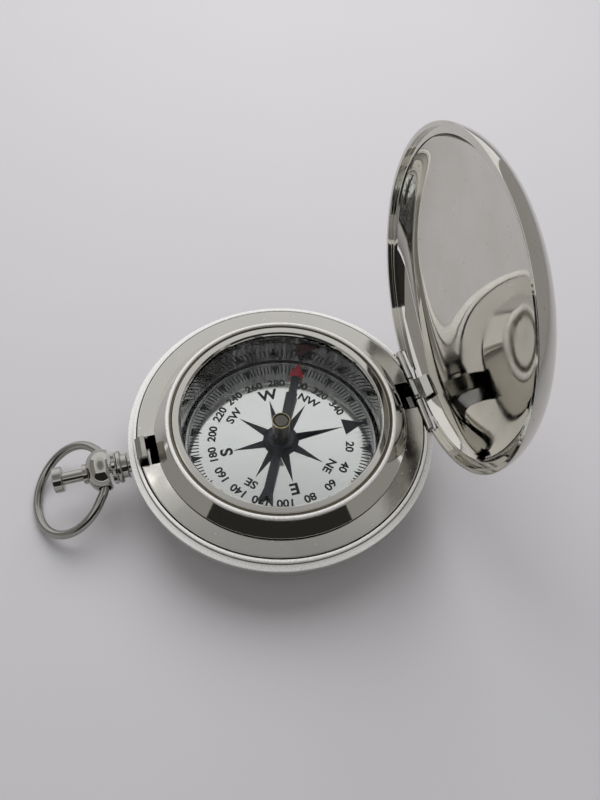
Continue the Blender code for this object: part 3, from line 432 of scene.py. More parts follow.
class Finish:
    """A material with a Principled shader, built node by node in the piece's own coordinates."""

    def __init__(self, name, colour, metallic=0.0, roughness=0.5):
        self.material = bpy.data.materials.new(name)
        self.material.use_nodes = True
        self.nodes = self.material.node_tree.nodes
        self.links = self.material.node_tree.links
        self.shader = self.nodes["Principled BSDF"]
        self.set("Base Color", (*colour, 1.0))
        self.set("Metallic", metallic)
        self.set("Roughness", roughness)
        self.place = self.nodes.new("ShaderNodeTexCoord").outputs["Object"]

    def set(self, socket, value):
        self.shader.inputs[socket].default_value = value

    def feed(self, socket, source):
        self.links.new(source, self.shader.inputs[socket])

    def stretched(self, scale):
        """The coordinates, stretched along each axis."""
        mapping = self.nodes.new("ShaderNodeMapping")
        mapping.inputs["Scale"].default_value = scale
        self.links.new(self.place, mapping.inputs["Vector"])
        return mapping.outputs["Vector"]

    def noise(self, per_metre, detail=3.0, place=None):
        node = self.nodes.new("ShaderNodeTexNoise")
        node.inputs["Scale"].default_value = per_metre
        node.inputs["Detail"].default_value = detail
        self.links.new(place or self.place, node.inputs["Vector"])
        return node.outputs["Fac"]

    def span(self, source, reach, onto=(0.0, 1.0)):
        """A source within one range, carried over to another. By default it makes a mask."""
        node = self.nodes.new("ShaderNodeMapRange")
        node.interpolation_type = "SMOOTHSTEP"
        for socket, value in zip(("From Min", "From Max", "To Min", "To Max"), (*reach, *onto)):
            node.inputs[socket].default_value = value
        self.links.new(source, node.inputs["Value"])
        return node.outputs["Result"]

    def combine(self, operation, first, second):
        """The result of an operation on two values, each a number or a socket."""
        node = self.nodes.new("ShaderNodeMath")
        node.operation = operation
        for socket, value in zip(node.inputs, (first, second)):
            if isinstance(value, float):
                socket.default_value = value
            else:
                self.links.new(value, socket)
        return node.outputs["Value"]

    def blend(self, factor, low, high):
        """A colour between two, each a colour or a socket."""
        node = self.nodes.new("ShaderNodeMix")
        node.data_type = "RGBA"
        self.links.new(factor, node.inputs["Factor"])
        for index, value in zip(MIX_COLOURS, (low, high)):
            if isinstance(value, tuple):
                node.inputs[index].default_value = (*value, 1.0)
            else:
                self.links.new(value, node.inputs[index])
        return node.outputs[MIX_RESULT]

    def axes(self):
        """The X, Y and Z coordinates as numbers."""
        node = self.nodes.new("ShaderNodeSeparateXYZ")
        self.links.new(self.place, node.inputs["Vector"])
        return node.outputs["X"], node.outputs["Y"], node.outputs["Z"]

    def radius(self):
        """Distance from the Z axis."""
        x, y, _ = self.axes()
        x_square = self.combine("MULTIPLY", x, x)
        y_square = self.combine("MULTIPLY", y, y)
        return self.combine("POWER", self.combine("ADD", x_square, y_square), 0.5)

    def ring(self, radius, fade):
        """A mask round the Z axis at a radius, which fades out between two half-widths."""
        offset = self.combine("SUBTRACT", self.radius(), radius)
        return self.span(self.combine("ABSOLUTE", offset, 0.0), fade, (1.0, 0.0))

    def bump(self, height, strength, depth):
        node = self.nodes.new("ShaderNodeBump")
        node.inputs["Strength"].default_value = strength
        node.inputs["Distance"].default_value = depth
        self.links.new(height, node.inputs["Height"])
        self.feed("Normal", node.outputs["Normal"])


def toned(colour, share):
    """A colour at a share of its strength."""
    return tuple(share * part for part in colour)


NICKEL = (0.62, 0.605, 0.565)
NICKEL_DEEP = (0.59, 0.575, 0.532)
# Pale rubbed nickel: worn plating in the nicks, and on the rim and the bezel's bead also a painted
# highlight
NICKEL_RUBBED_HIGHLIGHT = (0.94, 0.93, 0.90)
# Dark grime: real in the pin-point pits and specks, painted shade in the rim's crease and the bezel's
# groove
NICKEL_GRIME_AND_SHADE = (0.16, 0.14, 0.105)
MIRROR_ROUGHNESS = 0.05
RUB_ROUGHNESS = 0.2
RUB_DEPTH = 0.4 * MM
CREASE_RISE = 0.08 * MM
CREASE_TOP = 0.2 * MM
CREASE_FADE = (0.06 * MM, 0.16 * MM)
BEAD_FADE = (0.2 * MM, BEZEL_BEAD_RADIUS)
GROOVE_OFFSET = 0.1 * MM
GROOVE_FADE = (0.08 * MM, 0.14 * MM)


def nickel(name, gloss=(0.035, 0.09), shade_tone=1.0):
    """Mirror nickel plate with faint smudges, a slight ripple and pin-point pits. A shade tone below one
    darkens the whole plate as painted shade.
    """
    finish = Finish(name, NICKEL, metallic=1.0)
    smudge = finish.noise(per_metre=160.0, detail=5.0)
    pits = finish.span(finish.noise(per_metre=2600.0, detail=1.0), (0.74, 0.8))
    dulled = finish.span(smudge, (0.35, 0.65))
    # A shade tone below one darkens the plate: painted shade
    tint = finish.blend(dulled, toned(NICKEL, shade_tone), toned(NICKEL_DEEP, shade_tone))
    finish.feed("Base Color", finish.blend(pits, tint, NICKEL_GRIME_AND_SHADE))
    finish.feed("Roughness", finish.span(smudge, (0.4, 0.75), gloss))
    ripple = finish.noise(per_metre=240.0, detail=2.0)
    finish.bump(ripple, strength=0.06, depth=0.05 * MM)
    return finish.material


def rubbed_nickel(finish, rubbed_highlight, crease_shade):
    """Mirror nickel made pale and partly matt where one mask says so, as rubbed wear with a painted
    highlight, and darkened where another mask says so, as painted shade.
    """
    grain = finish.noise(per_metre=5200.0)
    smudge = finish.noise(per_metre=160.0, detail=5.0)
    tint = finish.blend(smudge, NICKEL, NICKEL_DEEP)
    # Paler where rubbed: wear with a painted highlight
    tint = finish.blend(rubbed_highlight, tint, NICKEL_RUBBED_HIGHLIGHT)
    specks = finish.combine("MULTIPLY", rubbed_highlight, finish.span(grain, (0.62, 0.74), (0.0, 0.3)))
    tint = finish.blend(specks, tint, NICKEL_GRIME_AND_SHADE)
    # Darkened along the second mask: painted shade in a crease
    finish.feed("Base Color", finish.blend(crease_shade, tint, NICKEL_GRIME_AND_SHADE))
    scuffed = finish.combine("MULTIPLY", rubbed_highlight, finish.span(grain, (0.35, 0.6), (0.85, 0.65)))
    finish.feed("Metallic", finish.combine("SUBTRACT", 1.0, scuffed))
    dulled = finish.combine("MULTIPLY", rubbed_highlight, RUB_ROUGHNESS)
    finish.feed("Roughness", finish.combine("ADD", dulled, MIRROR_ROUGHNESS))
    finish.bump(finish.combine("MULTIPLY", rubbed_highlight, grain), strength=0.05, depth=0.02 * MM)
    return finish.material


def rim_nickel():
    """Nickel of the bowl, pale on the rim as rubbed wear with a painted highlight, and darkened in the
    crease beside the rim's bead as painted shade.
    """
    finish = Finish("rim_nickel", NICKEL, metallic=1.0)
    _, _, z = finish.axes()
    land = RIM_LEVEL + RIM_LAND_RISE
    # The rim above the rim's level is painted pale: rubbed wear with a painted highlight
    rubbed_highlight = finish.span(z, (RIM_LEVEL - RUB_DEPTH, RIM_LEVEL))
    # A line of painted shade in the crease beside the rim's bead
    low = finish.span(z, (land + CREASE_RISE, land + CREASE_TOP), (1.0, 0.0))
    beside = finish.ring(RIM_RADIUS - RIM_LAND_WIDTH, CREASE_FADE)
    crease_shade = finish.combine("MULTIPLY", finish.combine("MULTIPLY", low, beside), rubbed_highlight)
    return rubbed_nickel(finish, rubbed_highlight, crease_shade)


def bezel_nickel():
    """Nickel of the bezel, pale on its bead as rubbed wear with a painted highlight, and darkened in the
    groove inside the bead as painted shade.
    """
    finish = Finish("bezel_nickel", NICKEL, metallic=1.0)
    bead = SKIRT_RADIUS - SKIRT_INSET - BEZEL_BEAD_RADIUS
    # The bead is painted pale: rubbed wear with a painted highlight
    rubbed_highlight = finish.ring(bead, BEAD_FADE)
    # A line of painted shade in the groove inside the bead
    groove = finish.ring(bead - BEZEL_BEAD_RADIUS - GROOVE_OFFSET, GROOVE_FADE)
    return rubbed_nickel(finish, rubbed_highlight, groove)


def turned_nickel():
    """Nickel with the fine circular marks of a lathe and a few bright nicks."""
    finish = Finish("turned_nickel", NICKEL, metallic=1.0)
    marks = finish.nodes.new("ShaderNodeTexNoise")
    marks.noise_dimensions = "1D"
    marks.inputs["Scale"].default_value = 9000.0
    marks.inputs["Detail"].default_value = 3.0
    finish.links.new(finish.radius(), marks.inputs["W"])
    smudge = finish.noise(per_metre=220.0, detail=4.0)
    nicks = finish.span(finish.noise(per_metre=1500.0, detail=2.0), (0.7, 0.78))
    tint = finish.blend(smudge, NICKEL, NICKEL_DEEP)
    finish.feed("Base Color", finish.blend(nicks, tint, NICKEL_RUBBED_HIGHLIGHT))
    gloss = finish.span(smudge, (0.35, 0.7), (0.07, 0.16))
    rough = finish.combine("MULTIPLY", nicks, 0.5)
    finish.feed("Roughness", finish.combine("MAXIMUM", gloss, rough))
    finish.bump(marks.outputs["Fac"], strength=0.05, depth=0.02 * MM)
    return finish.material


def drawn_metal(name, colour, roughness):
    """Drawn metal with streaks along Y."""
    finish = Finish(name, colour, metallic=1.0)
    along = finish.stretched((1.0, 0.2, 1.0))
    streaks = finish.noise(per_metre=900.0, detail=4.0, place=along)
    finish.feed("Base Color", finish.blend(streaks, colour, toned(colour, 0.6)))
    finish.feed("Roughness", finish.span(streaks, (0.3, 0.7), (roughness, roughness + 0.15)))
    finish.bump(streaks, strength=0.2, depth=0.02 * MM)
    return finish.material


# The cup's wall is made near black as painted shade of the deep cup; the two colours give its polishing
# streaks
CUP_SHADED_PALE = (0.10, 0.10, 0.097)
CUP_SHADED_DARK = (0.018, 0.018, 0.018)


def cup_metal():
    """Mirror wall darkened as painted shade of the deep cup, with upright polishing streaks."""
    finish = Finish("cup_metal", CUP_SHADED_DARK, metallic=1.0)
    upright = finish.stretched((1.0, 1.0, 0.04))
    streaks = finish.noise(per_metre=1500.0, detail=4.0, place=upright)
    darkened = finish.span(streaks, (0.35, 0.65))
    finish.feed("Base Color", finish.blend(darkened, CUP_SHADED_PALE, CUP_SHADED_DARK))
    finish.feed("Roughness", finish.span(streaks, (0.3, 0.7), (0.06, 0.16)))
    return finish.material


DIAL_BRIGHT = (0.88, 0.885, 0.87)
DIAL_GREY = (0.78, 0.79, 0.775)


def dial_silver():
    """Bright silvered dial with a fine straight grain."""
    finish = Finish("dial_silver", DIAL_BRIGHT, metallic=0.9)
    grain = finish.noise(per_metre=2600.0, place=finish.stretched((0.06, 1.0, 1.0)))
    finish.feed("Base Color", finish.blend(grain, DIAL_BRIGHT, DIAL_GREY))
    finish.feed("Roughness", finish.span(grain, (0.3, 0.7), (0.06, 0.1)))
    finish.bump(grain, strength=0.08, depth=0.01 * MM)
    return finish.material


INK_GAIN = 1.6
INK_LIFT = 0.012


def ink(name, colour, roughness):
    """Printing ink, a little uneven in its cover. The white one is paint for the painted highlights
    beside the rose's rays.
    """
    finish = Finish(name, colour, roughness=roughness)
    finish.set("Specular IOR Level", 0.2)
    cover = finish.noise(per_metre=1800.0)
    worn = tuple(min(1.0, INK_GAIN * part + INK_LIFT) for part in colour)
    finish.feed("Base Color", finish.blend(finish.span(cover, (0.45, 0.8)), colour, worn))
    finish.feed("Roughness", finish.span(cover, (0.3, 0.7), (roughness, roughness + 0.12)))
    return finish.material


def lacquer(name, colour):
    """Glossy needle paint with a slight orange peel."""
    finish = Finish(name, colour, roughness=0.3)
    finish.set("Coat Weight", 0.2)
    finish.set("Coat Roughness", 0.12)
    peel = finish.noise(per_metre=1400.0, detail=2.0)
    finish.feed("Base Color", finish.blend(peel, colour, toned(colour, 0.55)))
    finish.feed("Roughness", finish.span(peel, (0.3, 0.7), (0.26, 0.4)))
    finish.bump(peel, strength=0.1, depth=0.02 * MM)
    return finish.material


BRASS_BRIGHT = (0.66, 0.56, 0.32)
BRASS_DULL = (0.44, 0.35, 0.17)


def brass():
    """Brass with turning marks round it."""
    finish = Finish("brass", BRASS_BRIGHT, metallic=1.0)
    marks = finish.noise(per_metre=1600.0, place=finish.stretched((0.3, 0.3, 3.0)))
    finish.feed("Base Color", finish.blend(marks, BRASS_BRIGHT, BRASS_DULL))
    finish.feed("Roughness", finish.span(marks, (0.3, 0.7), (0.16, 0.3)))
    finish.bump(marks, strength=0.15, depth=0.02 * MM)
    return finish.material


JEWEL_PALE = (0.09, 0.08, 0.066)
JEWEL_DARK = (0.045, 0.04, 0.032)


def jewel():
    """Dark polished stone, slightly cloudy."""
    finish = Finish("jewel", JEWEL_DARK, roughness=0.08)
    cloud = finish.noise(per_metre=900.0, detail=2.0)
    finish.feed("Base Color", finish.blend(cloud, JEWEL_PALE, JEWEL_DARK))
    return finish.material


GLASS_TINT = (0.97, 0.985, 0.98)
GLASS_INDEX = 1.2


def glass():
    """Clear flat glass with the faintest smear."""
    finish = Finish("glass", GLASS_TINT, roughness=0.0)
    finish.set("Transmission Weight", 1.0)
    finish.set("IOR", GLASS_INDEX)
    smear = finish.noise(per_metre=120.0)
    finish.feed("Roughness", finish.span(smear, (0.55, 0.85), (0.0, 0.02)))
    return finish.material


POLISHED = nickel("polished_nickel")
RIM = rim_nickel()
BEZEL = bezel_nickel()
LEDGE = turned_nickel()
# Darker copies of the nickel: their lower shade tone is painted shade; the bow and the worn hinge and
# catch are also rougher
PENDANT = nickel("pendant_nickel", shade_tone=0.72)
BOW = nickel("bow_nickel", (0.06, 0.16), 0.55)
WORN_SHADED = nickel("worn_nickel", (0.1, 0.26), 0.7)
SPRING = drawn_metal("spring_steel", (0.40, 0.40, 0.40), 0.25)
CUP = cup_metal()
DIAL = dial_silver()
BLACK_INK = ink("black_ink", (0.012, 0.014, 0.018), 0.32)
# White paint for the painted highlights beside the rose's rays
HIGHLIGHT_PAINT = ink("white_highlight_paint", (0.82, 0.82, 0.81), 0.4)
BLUE_BLACK = lacquer("blue_black_lacquer", (0.008, 0.011, 0.018))
RED = lacquer("red_lacquer", (0.42, 0.035, 0.05))
BRASS = brass()
BRONZED = drawn_metal("bronzed_brass", (0.05, 0.046, 0.04), 0.24)
JEWEL = jewel()
GLASS = glass()


# Case, ledge, bezel, glass and dial

def hinge_bed():
    """The space that the hinge takes out of the rim and the ledge."""
    reach_x = (HINGE.x - HINGE_BED_INSET, RIM_RADIUS + CUT_MARGIN)
    return block(reach_x, HINGE_SPAN, (RIM_LEVEL - HINGE_BED_DEPTH, BEZEL_TOP))


def edge_notch(side, inner, width):
    """A slot through the ledge and the skirt's foot, open towards the rim."""
    near, far = sorted((side * inner, side * (LEDGE_OUTER + SEAT_GAP)))
    return block((near, far), (-width / 2, width / 2), (0, LEDGE_TOP + SEAT_GAP + NOTCH_RISE))


def notches():
    return [
        edge_notch(-1, CATCH_NOTCH_INNER, CATCH_NOTCH_WIDTH),
        edge_notch(1, HINGE_NOTCH_INNER, HINGE_NOTCH_WIDTH),
    ]


def along_pendant(bm):
    """Turns a solid about Z so that it lies along the pendant, pointing out of the case."""
    bmesh.ops.rotate(bm, verts=bm.verts, cent=(0, 0, 0), matrix=Matrix.Rotation(-math.pi / 2, 3, "Y"))
    bmesh.ops.translate(bm, verts=bm.verts, vec=(0, 0, PENDANT_LEVEL))
    return bm


def rod(radius, low, high):
    return turned([(0, low), (radius, low), (radius, high), (0, high)], PENDANT_SEGMENTS)


def make_case():
    bead_outer = RIM_RADIUS - RIM_LAND_WIDTH
    bead_inner = bead_outer - RIM_BEAD_WIDTH
    outer = bowl_curve(RIM_RADIUS, RIM_LEVEL, 2 * RIM_EDGE)
    inner = bowl_curve(RIM_RADIUS - CASE_WALL, RIM_LEVEL - CASE_WALL, 4 * RIM_LIP_DEPTH)
    section = [(0, 0)]
    section += [(radius, RIM_LEVEL - depth) for radius, depth in reversed(outer)]
    section += [
        (RIM_RADIUS, RIM_LEVEL, RIM_EDGE),
        (bead_outer, RIM_LEVEL + RIM_LAND_RISE, RIM_EDGE / 2),
        (bead_outer, BEAD_TOP, RIM_EDGE),
        (bead_inner, BEAD_TOP, RIM_EDGE),
        (bead_inner, RIM_LEVEL - RIM_LIP_DEPTH),
    ]
    section += [(radius, RIM_LEVEL - depth) for radius, depth in inner]
    section += [(0, CASE_WALL)]
    hole = along_pendant(rod(SPIGOT_RADIUS + SEAT_GAP, bead_inner - CUT_MARGIN, RIM_RADIUS + CUT_MARGIN))
    add_piece("case_shell", turned(rounded(section)), RIM, "case",
              ["case_bowl"], [hinge_bed(), hole])


def make_ledge():
    flange_inner = LEDGE_OUTER - LEDGE_FLANGE
    inner = SKIRT_RADIUS - BEZEL_WIDTH + BEZEL_LIP + BEZEL_WALL + SEAT_GAP
    foot = bottom("ledge_ring")
    edge = RIM_RADIUS - RIM_LAND_WIDTH - RIM_BEAD_WIDTH - LEDGE_SEAM
    section = [
        (inner, LEDGE_TOP),
        (inner, LEDGE_TOP - LEDGE_THICKNESS),
        (flange_inner, LEDGE_TOP - LEDGE_THICKNESS),
        (flange_inner, foot),
        (LEDGE_OUTER, foot),
        (LEDGE_OUTER, LEDGE_TOP - LEDGE_THICKNESS),
        (edge, LEDGE_TOP - LEDGE_THICKNESS),
        (edge, LEDGE_TOP, LEDGE_EDGE),
    ]
    add_piece("ledge_plate", turned(rounded(section)), LEDGE, "case",
              ["ledge_ring"], [hinge_bed(), *notches()])


def make_bezel():
    skirt_bottom = LEDGE_TOP + SEAT_GAP
    bead_centre = (SKIRT_RADIUS - SKIRT_INSET - BEZEL_BEAD_RADIUS, BEZEL_TOP - BEZEL_BEAD_RADIUS)
    groove = bead_centre[0] - BEZEL_BEAD_RADIUS
    groove_level = bead_centre[1] - BEZEL_GROOVE_DEPTH / 2
    ridge = groove - BEZEL_RIDGE_WIDTH
    lip = SKIRT_RADIUS - BEZEL_WIDTH
    bore = lip + BEZEL_LIP
    lip_top = BEZEL_TOP - BEZEL_LIP_DROP
    section = [
        (SKIRT_RADIUS, skirt_bottom, SKIRT_EDGE),
        *arc(bead_centre, BEZEL_BEAD_RADIUS, -math.pi / 6, math.pi, BEAD_STEPS),
        (groove, groove_level, BEZEL_EDGE / 2),
        (ridge + BEZEL_RIDGE_WIDTH / 2, groove_level, BEZEL_EDGE / 2),
        (ridge, BEZEL_TOP - BEZEL_LIP_DROP / 2, BEZEL_EDGE),
        (lip + BEZEL_LIP_THICKNESS / 2, BEZEL_TOP - BEZEL_LIP_DROP / 2, BEZEL_EDGE),
        (lip, lip_top - BEZEL_LIP_DROP / 2, BEZEL_EDGE / 2),
        (lip, lip_top - BEZEL_LIP_THICKNESS),
        (bore, lip_top - BEZEL_LIP_THICKNESS),
        (bore, BEZEL_BOTTOM),
        (bore + BEZEL_WALL, BEZEL_BOTTOM),
        (bore + BEZEL_WALL, skirt_bottom),
    ]
    add_piece("bezel_ring", turned(rounded(section)), BEZEL, "case",
              ["bezel"], notches())


def make_glass():
    section = [
        (0, GLASS_TOP),
        (GLASS_RADIUS, GLASS_TOP, LEDGE_EDGE),
        (GLASS_RADIUS, GLASS_BOTTOM, LEDGE_EDGE),
        (0, GLASS_BOTTOM),
    ]
    pane = add_piece("glass", turned(rounded(section)), GLASS, "case", ["crystal"])
    pane.visible_shadow = False


def make_dial():
    inner = CUP_RADIUS - CUP_WALL
    floor = CUP_BOTTOM + CUP_FLOOR
    cup = [
        (CUP_RADIUS, CUP_TOP),
        (inner, CUP_TOP, SKIRT_EDGE),
        (inner, floor),
        (POST_HOLE, floor),
        (POST_HOLE, CUP_BOTTOM),
        (CUP_RADIUS, CUP_BOTTOM),
    ]
    add_piece("dial_well", turned(rounded(cup)), CUP, "case", ["dial_cup"])
    plate = [
        (POST_HOLE, DIAL_TOP),
        (POST_HOLE, DIAL_BOTTOM),
        (DIAL_RADIUS, DIAL_BOTTOM),
        (DIAL_RADIUS, DIAL_TOP, SKIRT_EDGE),
    ]
    add_piece("dial_plate", turned(rounded(plate)), DIAL, "case", ["dial"])


# Dial print, and painted highlights beside the rose's rays

def polar(radius, degrees):
    """A point on the dial at a compass bearing, with north along +X."""
    angle = -math.radians(degrees)
    return Vector((radius * math.cos(angle), radius * math.sin(angle)))


def printed(bm, outline):
    low = DIAL_TOP - INK_SINK
    prism([tuple(point) for point in outline], low, low + INK_THICKNESS, bm)


def wedge(bm, degrees, apex, base, half_width):
    """A triangle on a bearing, from its apex radius to its base radius."""
    side = polar(half_width, degrees + 90)
    middle = polar(base, degrees)
    printed(bm, [polar(apex, degrees), middle + side, middle - side])


def ray_line(degrees):
    """A thin painted highlight beside a ray, on the same side of every ray, as four points."""
    side = polar(ROSE_RAY_WIDTH / 2, degrees + 90)
    foot = polar(ROSE_HUB_RADIUS, degrees) + side
    tip = polar(ROSE_RAY_REACH, degrees)
    out = polar(ROSE_LINE_WIDTH, degrees + 90)
    near, far = out * ROSE_LINE_GAP, out * (ROSE_LINE_GAP + 1)
    return [foot + near, foot + far, tip + far, tip + near]


def print_rose():
    rose = bmesh.new()
    printed(rose, arc((0, 0), ROSE_HUB_RADIUS, 0, math.tau * (1 - 1 / SEGMENTS), SEGMENTS - 1))
    edge_highlights = bmesh.new()
    for degrees in range(0, 360, ROSE_STEP):
        wedge(rose, degrees, ROSE_RAY_REACH, ROSE_HUB_RADIUS * ROSE_FOOT, ROSE_RAY_WIDTH / 2)
        # A painted highlight beside each ray
        printed(edge_highlights, ray_line(degrees))
    wedge(rose, 0, NORTH_BASE, ROSE_HUB_RADIUS, ROSE_RAY_WIDTH / 2)
    wedge(rose, 0, NORTH_TIP, NORTH_BASE, NORTH_HALF_WIDTH)
    add_piece("print_rose", rose, BLACK_INK, "case")
    add_piece("painted_rose_highlights", edge_highlights, HIGHLIGHT_PAINT, "case")


def tick(bm, degrees, inner, outer, width):
    side = polar(width / 2, degrees + 90)
    start, end = polar(inner, degrees), polar(outer, degrees)
    printed(bm, [start - side, start + side, end + side, end - side])


def print_scale():
    scale = bmesh.new()
    for index in range(FINE_TICKS):
        degrees = index * 360 / FINE_TICKS
        tick(scale, degrees, FINE_INNER, FINE_OUTER, FINE_WIDTH)
        if index % WEDGE_EVERY == 0:
            wedge(scale, degrees, WEDGE_INNER, WEDGE_OUTER, WEDGE_HALF_WIDTH)
        elif index % TICK_EVERY == 0:
            tick(scale, degrees, TICK_INNER, WEDGE_OUTER, TICK_WIDTH)
    add_piece("print_scale", scale, BLACK_INK, "case")


def words(name, entries, radius, size):
    """Bold words set round the dial with their tops outwards, as one piece."""
    bm = bmesh.new()
    shape = Matrix.Diagonal((WORD_WIDTH, 1, INK_THICKNESS / (2 * BOLDNESS * size), 1))
    for degrees, word in entries:
        curve = bpy.data.curves.new(name, "FONT")
        curve.body = word
        curve.size = size
        curve.align_x = "CENTER"
        curve.align_y = "CENTER"
        curve.bevel_depth = BOLDNESS * size
        curve.bevel_resolution = 0
        holder = bpy.data.objects.new(name, curve)
        bpy.context.scene.collection.objects.link(holder)
        graph = bpy.context.evaluated_depsgraph_get()
        mesh = bpy.data.meshes.new_from_object(holder.evaluated_get(graph))
        at = polar(radius, degrees)
        level = DIAL_TOP - INK_SINK + INK_THICKNESS / 2
        turn = Matrix.Rotation(-math.radians(degrees) - math.pi / 2, 4, "Z")
        mesh.transform(Matrix.Translation((at.x, at.y, level)) @ turn @ shape)
        bm.from_mesh(mesh)
        bpy.data.objects.remove(holder)
        bpy.data.meshes.remove(mesh)
        bpy.data.curves.remove(curve)
    bmesh.ops.remove_doubles(bm, verts=bm.verts, dist=WELD)
    add_piece(name, bm, BLACK_INK, "case")


def print_words():
    words("print_cardinals", CARDINALS.items(), CARDINAL_RADIUS, CARDINAL_SIZE)
    words("print_corners", CORNERS.items(), CORNER_RADIUS, CORNER_SIZE)
    numerals = [(degrees, str(degrees)) for degrees in range(DIAL_STEP, 360, DIAL_STEP)]
    words("print_numerals", numerals, NUMERAL_RADIUS, NUMERAL_SIZE)


# Needle

def bevel_edges(piece, width):
    modifier = piece.modifiers.new("edges", "BEVEL")
    modifier.width = width
    modifier.segments = BEVEL_STEPS
    modifier.limit_method = "ANGLE"
    modifier.angle_limit = SHARP_ANGLE


def mirrored(upper):
    """A whole outline from its upper half."""
    return upper + [(x, -y) for x, y in reversed(upper)]


def make_needle():
    turn = Matrix.Rotation(NEEDLE_ANGLE, 4, "Z")
    head_base = NEEDLE_REACH - NEEDLE_HEAD_LENGTH
    flare = head_base - NEEDLE_NECK_LENGTH
    tail = -NEEDLE_TAIL_REACH
    hub_angle = math.asin(NEEDLE_WAIST_WIDTH / 2 / NEEDLE_HUB_RADIUS)
    upper = [
        (head_base, NEEDLE_NECK_WIDTH / 2),
        (flare, NEEDLE_NECK_WIDTH / 2),
        (flare, NEEDLE_BAR_WIDTH / 2),
        *arc((0, 0), NEEDLE_HUB_RADIUS, hub_angle, math.pi - hub_angle, HUB_STEPS),
        (tail + NEEDLE_TAIL_LENGTH, NEEDLE_WAIST_WIDTH / 2),
        (tail, NEEDLE_TAIL_WIDTH / 2),
        (tail + NEEDLE_TAIL_LENGTH / 2, NEEDLE_TAIL_SLIT),
    ]
    bar = prism(mirrored(upper), NEEDLE_BOTTOM, NEEDLE_TOP)
    hole = rod(NEEDLE_HOLE, NEEDLE_BOTTOM - CUT_MARGIN, NEEDLE_TOP + CUT_MARGIN)
    piece = add_piece("needle_bar", bar, BLUE_BLACK, "needle", ["needle"], [hole], turn)
    bevel_edges(piece, NEEDLE_EDGE)
    head = [(NEEDLE_REACH, 0), (head_base, NEEDLE_HEAD_WIDTH / 2), (head_base, -NEEDLE_HEAD_WIDTH / 2)]
    head = prism(head, NEEDLE_BOTTOM, NEEDLE_TOP)
    piece = add_piece("needle_head", head, RED, "needle", place=turn)
    bevel_edges(piece, NEEDLE_EDGE)


def make_cap():
    recess = CAP_RADIUS - CAP_RIM
    tube = CAP_RADIUS - CAP_SEAM
    cap = [
        (CAP_BORE, bottom("needle_cap")),
        (CAP_BORE + CAP_RIM, bottom("needle_cap")),
        (CAP_BORE + CAP_RIM, NEEDLE_TOP + SEAT_GAP),
        (tube, NEEDLE_TOP + SEAT_GAP),
        (tube, CAP_TOP - CAP_EDGE),
        (recess + CAP_SEAM, CAP_TOP - CAP_EDGE),
        (recess + CAP_SEAM, CAP_TOP - CAP_RECESS_DEPTH),
        (CAP_BORE, CAP_TOP - CAP_RECESS_DEPTH),
    ]
    add_piece("hub_tube", turned(rounded(cap), PENDANT_SEGMENTS), BRONZED, "needle",
              ["needle_cap"])
    low = CAP_TOP - CAP_RIM
    rim = [
        (recess + CAP_EDGE, low),
        (CAP_RADIUS, low),
        (CAP_RADIUS, CAP_TOP, CAP_EDGE / 2),
        (recess + CAP_EDGE, CAP_TOP, CAP_EDGE / 2),
    ]
    add_piece("hub_rim", turned(rounded(rim), PENDANT_SEGMENTS), BRASS, "needle")
    stone = [
        (0, bottom("needle_jewel")),
        (recess - CAP_RIM, bottom("needle_jewel")),
        (recess - CAP_RIM, top("needle_jewel"), CAP_EDGE),
        (0, top("needle_jewel")),
    ]
    add_piece("hub_stone", turned(rounded(stone), PENDANT_SEGMENTS), JEWEL, "needle",
              ["needle_jewel"])


# Lid

def make_lid():
    lip_bottom = RIM_LEVEL + RIM_LAND_RISE + LID_FIT
    lip_inner = RIM_RADIUS - RIM_LAND_WIDTH + LID_FIT
    flange_bottom = BEAD_TOP + LID_FIT
    flange_top = flange_bottom + LID_FLANGE_THICKNESS
    flange_inner = lip_inner - LID_FLANGE_WIDTH
    cut_top = flange_top + LID_FLANGE_FILLET
    outer_radius = RIM_RADIUS - HAIR
    outer = dome_curve(outer_radius, LID_RISE, 2 * LID_EDGE)
    inner = dome_curve(RIM_RADIUS - LID_WALL, LID_RISE - LID_WALL, cut_top - lip_bottom)
    section = [(radius, lip_bottom + height) for radius, height in reversed(outer)]
    section += [
        (outer_radius, lip_bottom, LID_EDGE),
        (lip_inner, lip_bottom, LID_EDGE / 2),
        (lip_inner, flange_bottom, LID_EDGE / 2),
        (flange_inner, flange_bottom, LID_EDGE),
        (flange_inner, flange_top, LID_EDGE),
    ]
    section += [(radius, lip_bottom + height) for radius, height in inner]
    relief_x = (HINGE.x - HINGE_BED_INSET, RIM_RADIUS + CUT_MARGIN)
    relief = block(relief_x, HINGE_SPAN, (RIM_LEVEL, cut_top))
    swing = Matrix.Rotation(LID_OPEN_ANGLE, 4, "Y")
    place = Matrix.Translation(HINGE) @ swing @ Matrix.Translation(-HINGE)
    add_piece("lid_shell", turned(rounded(section)), POLISHED, "lid",
              ["lid"], [relief], place)


# Pendant, button and bow

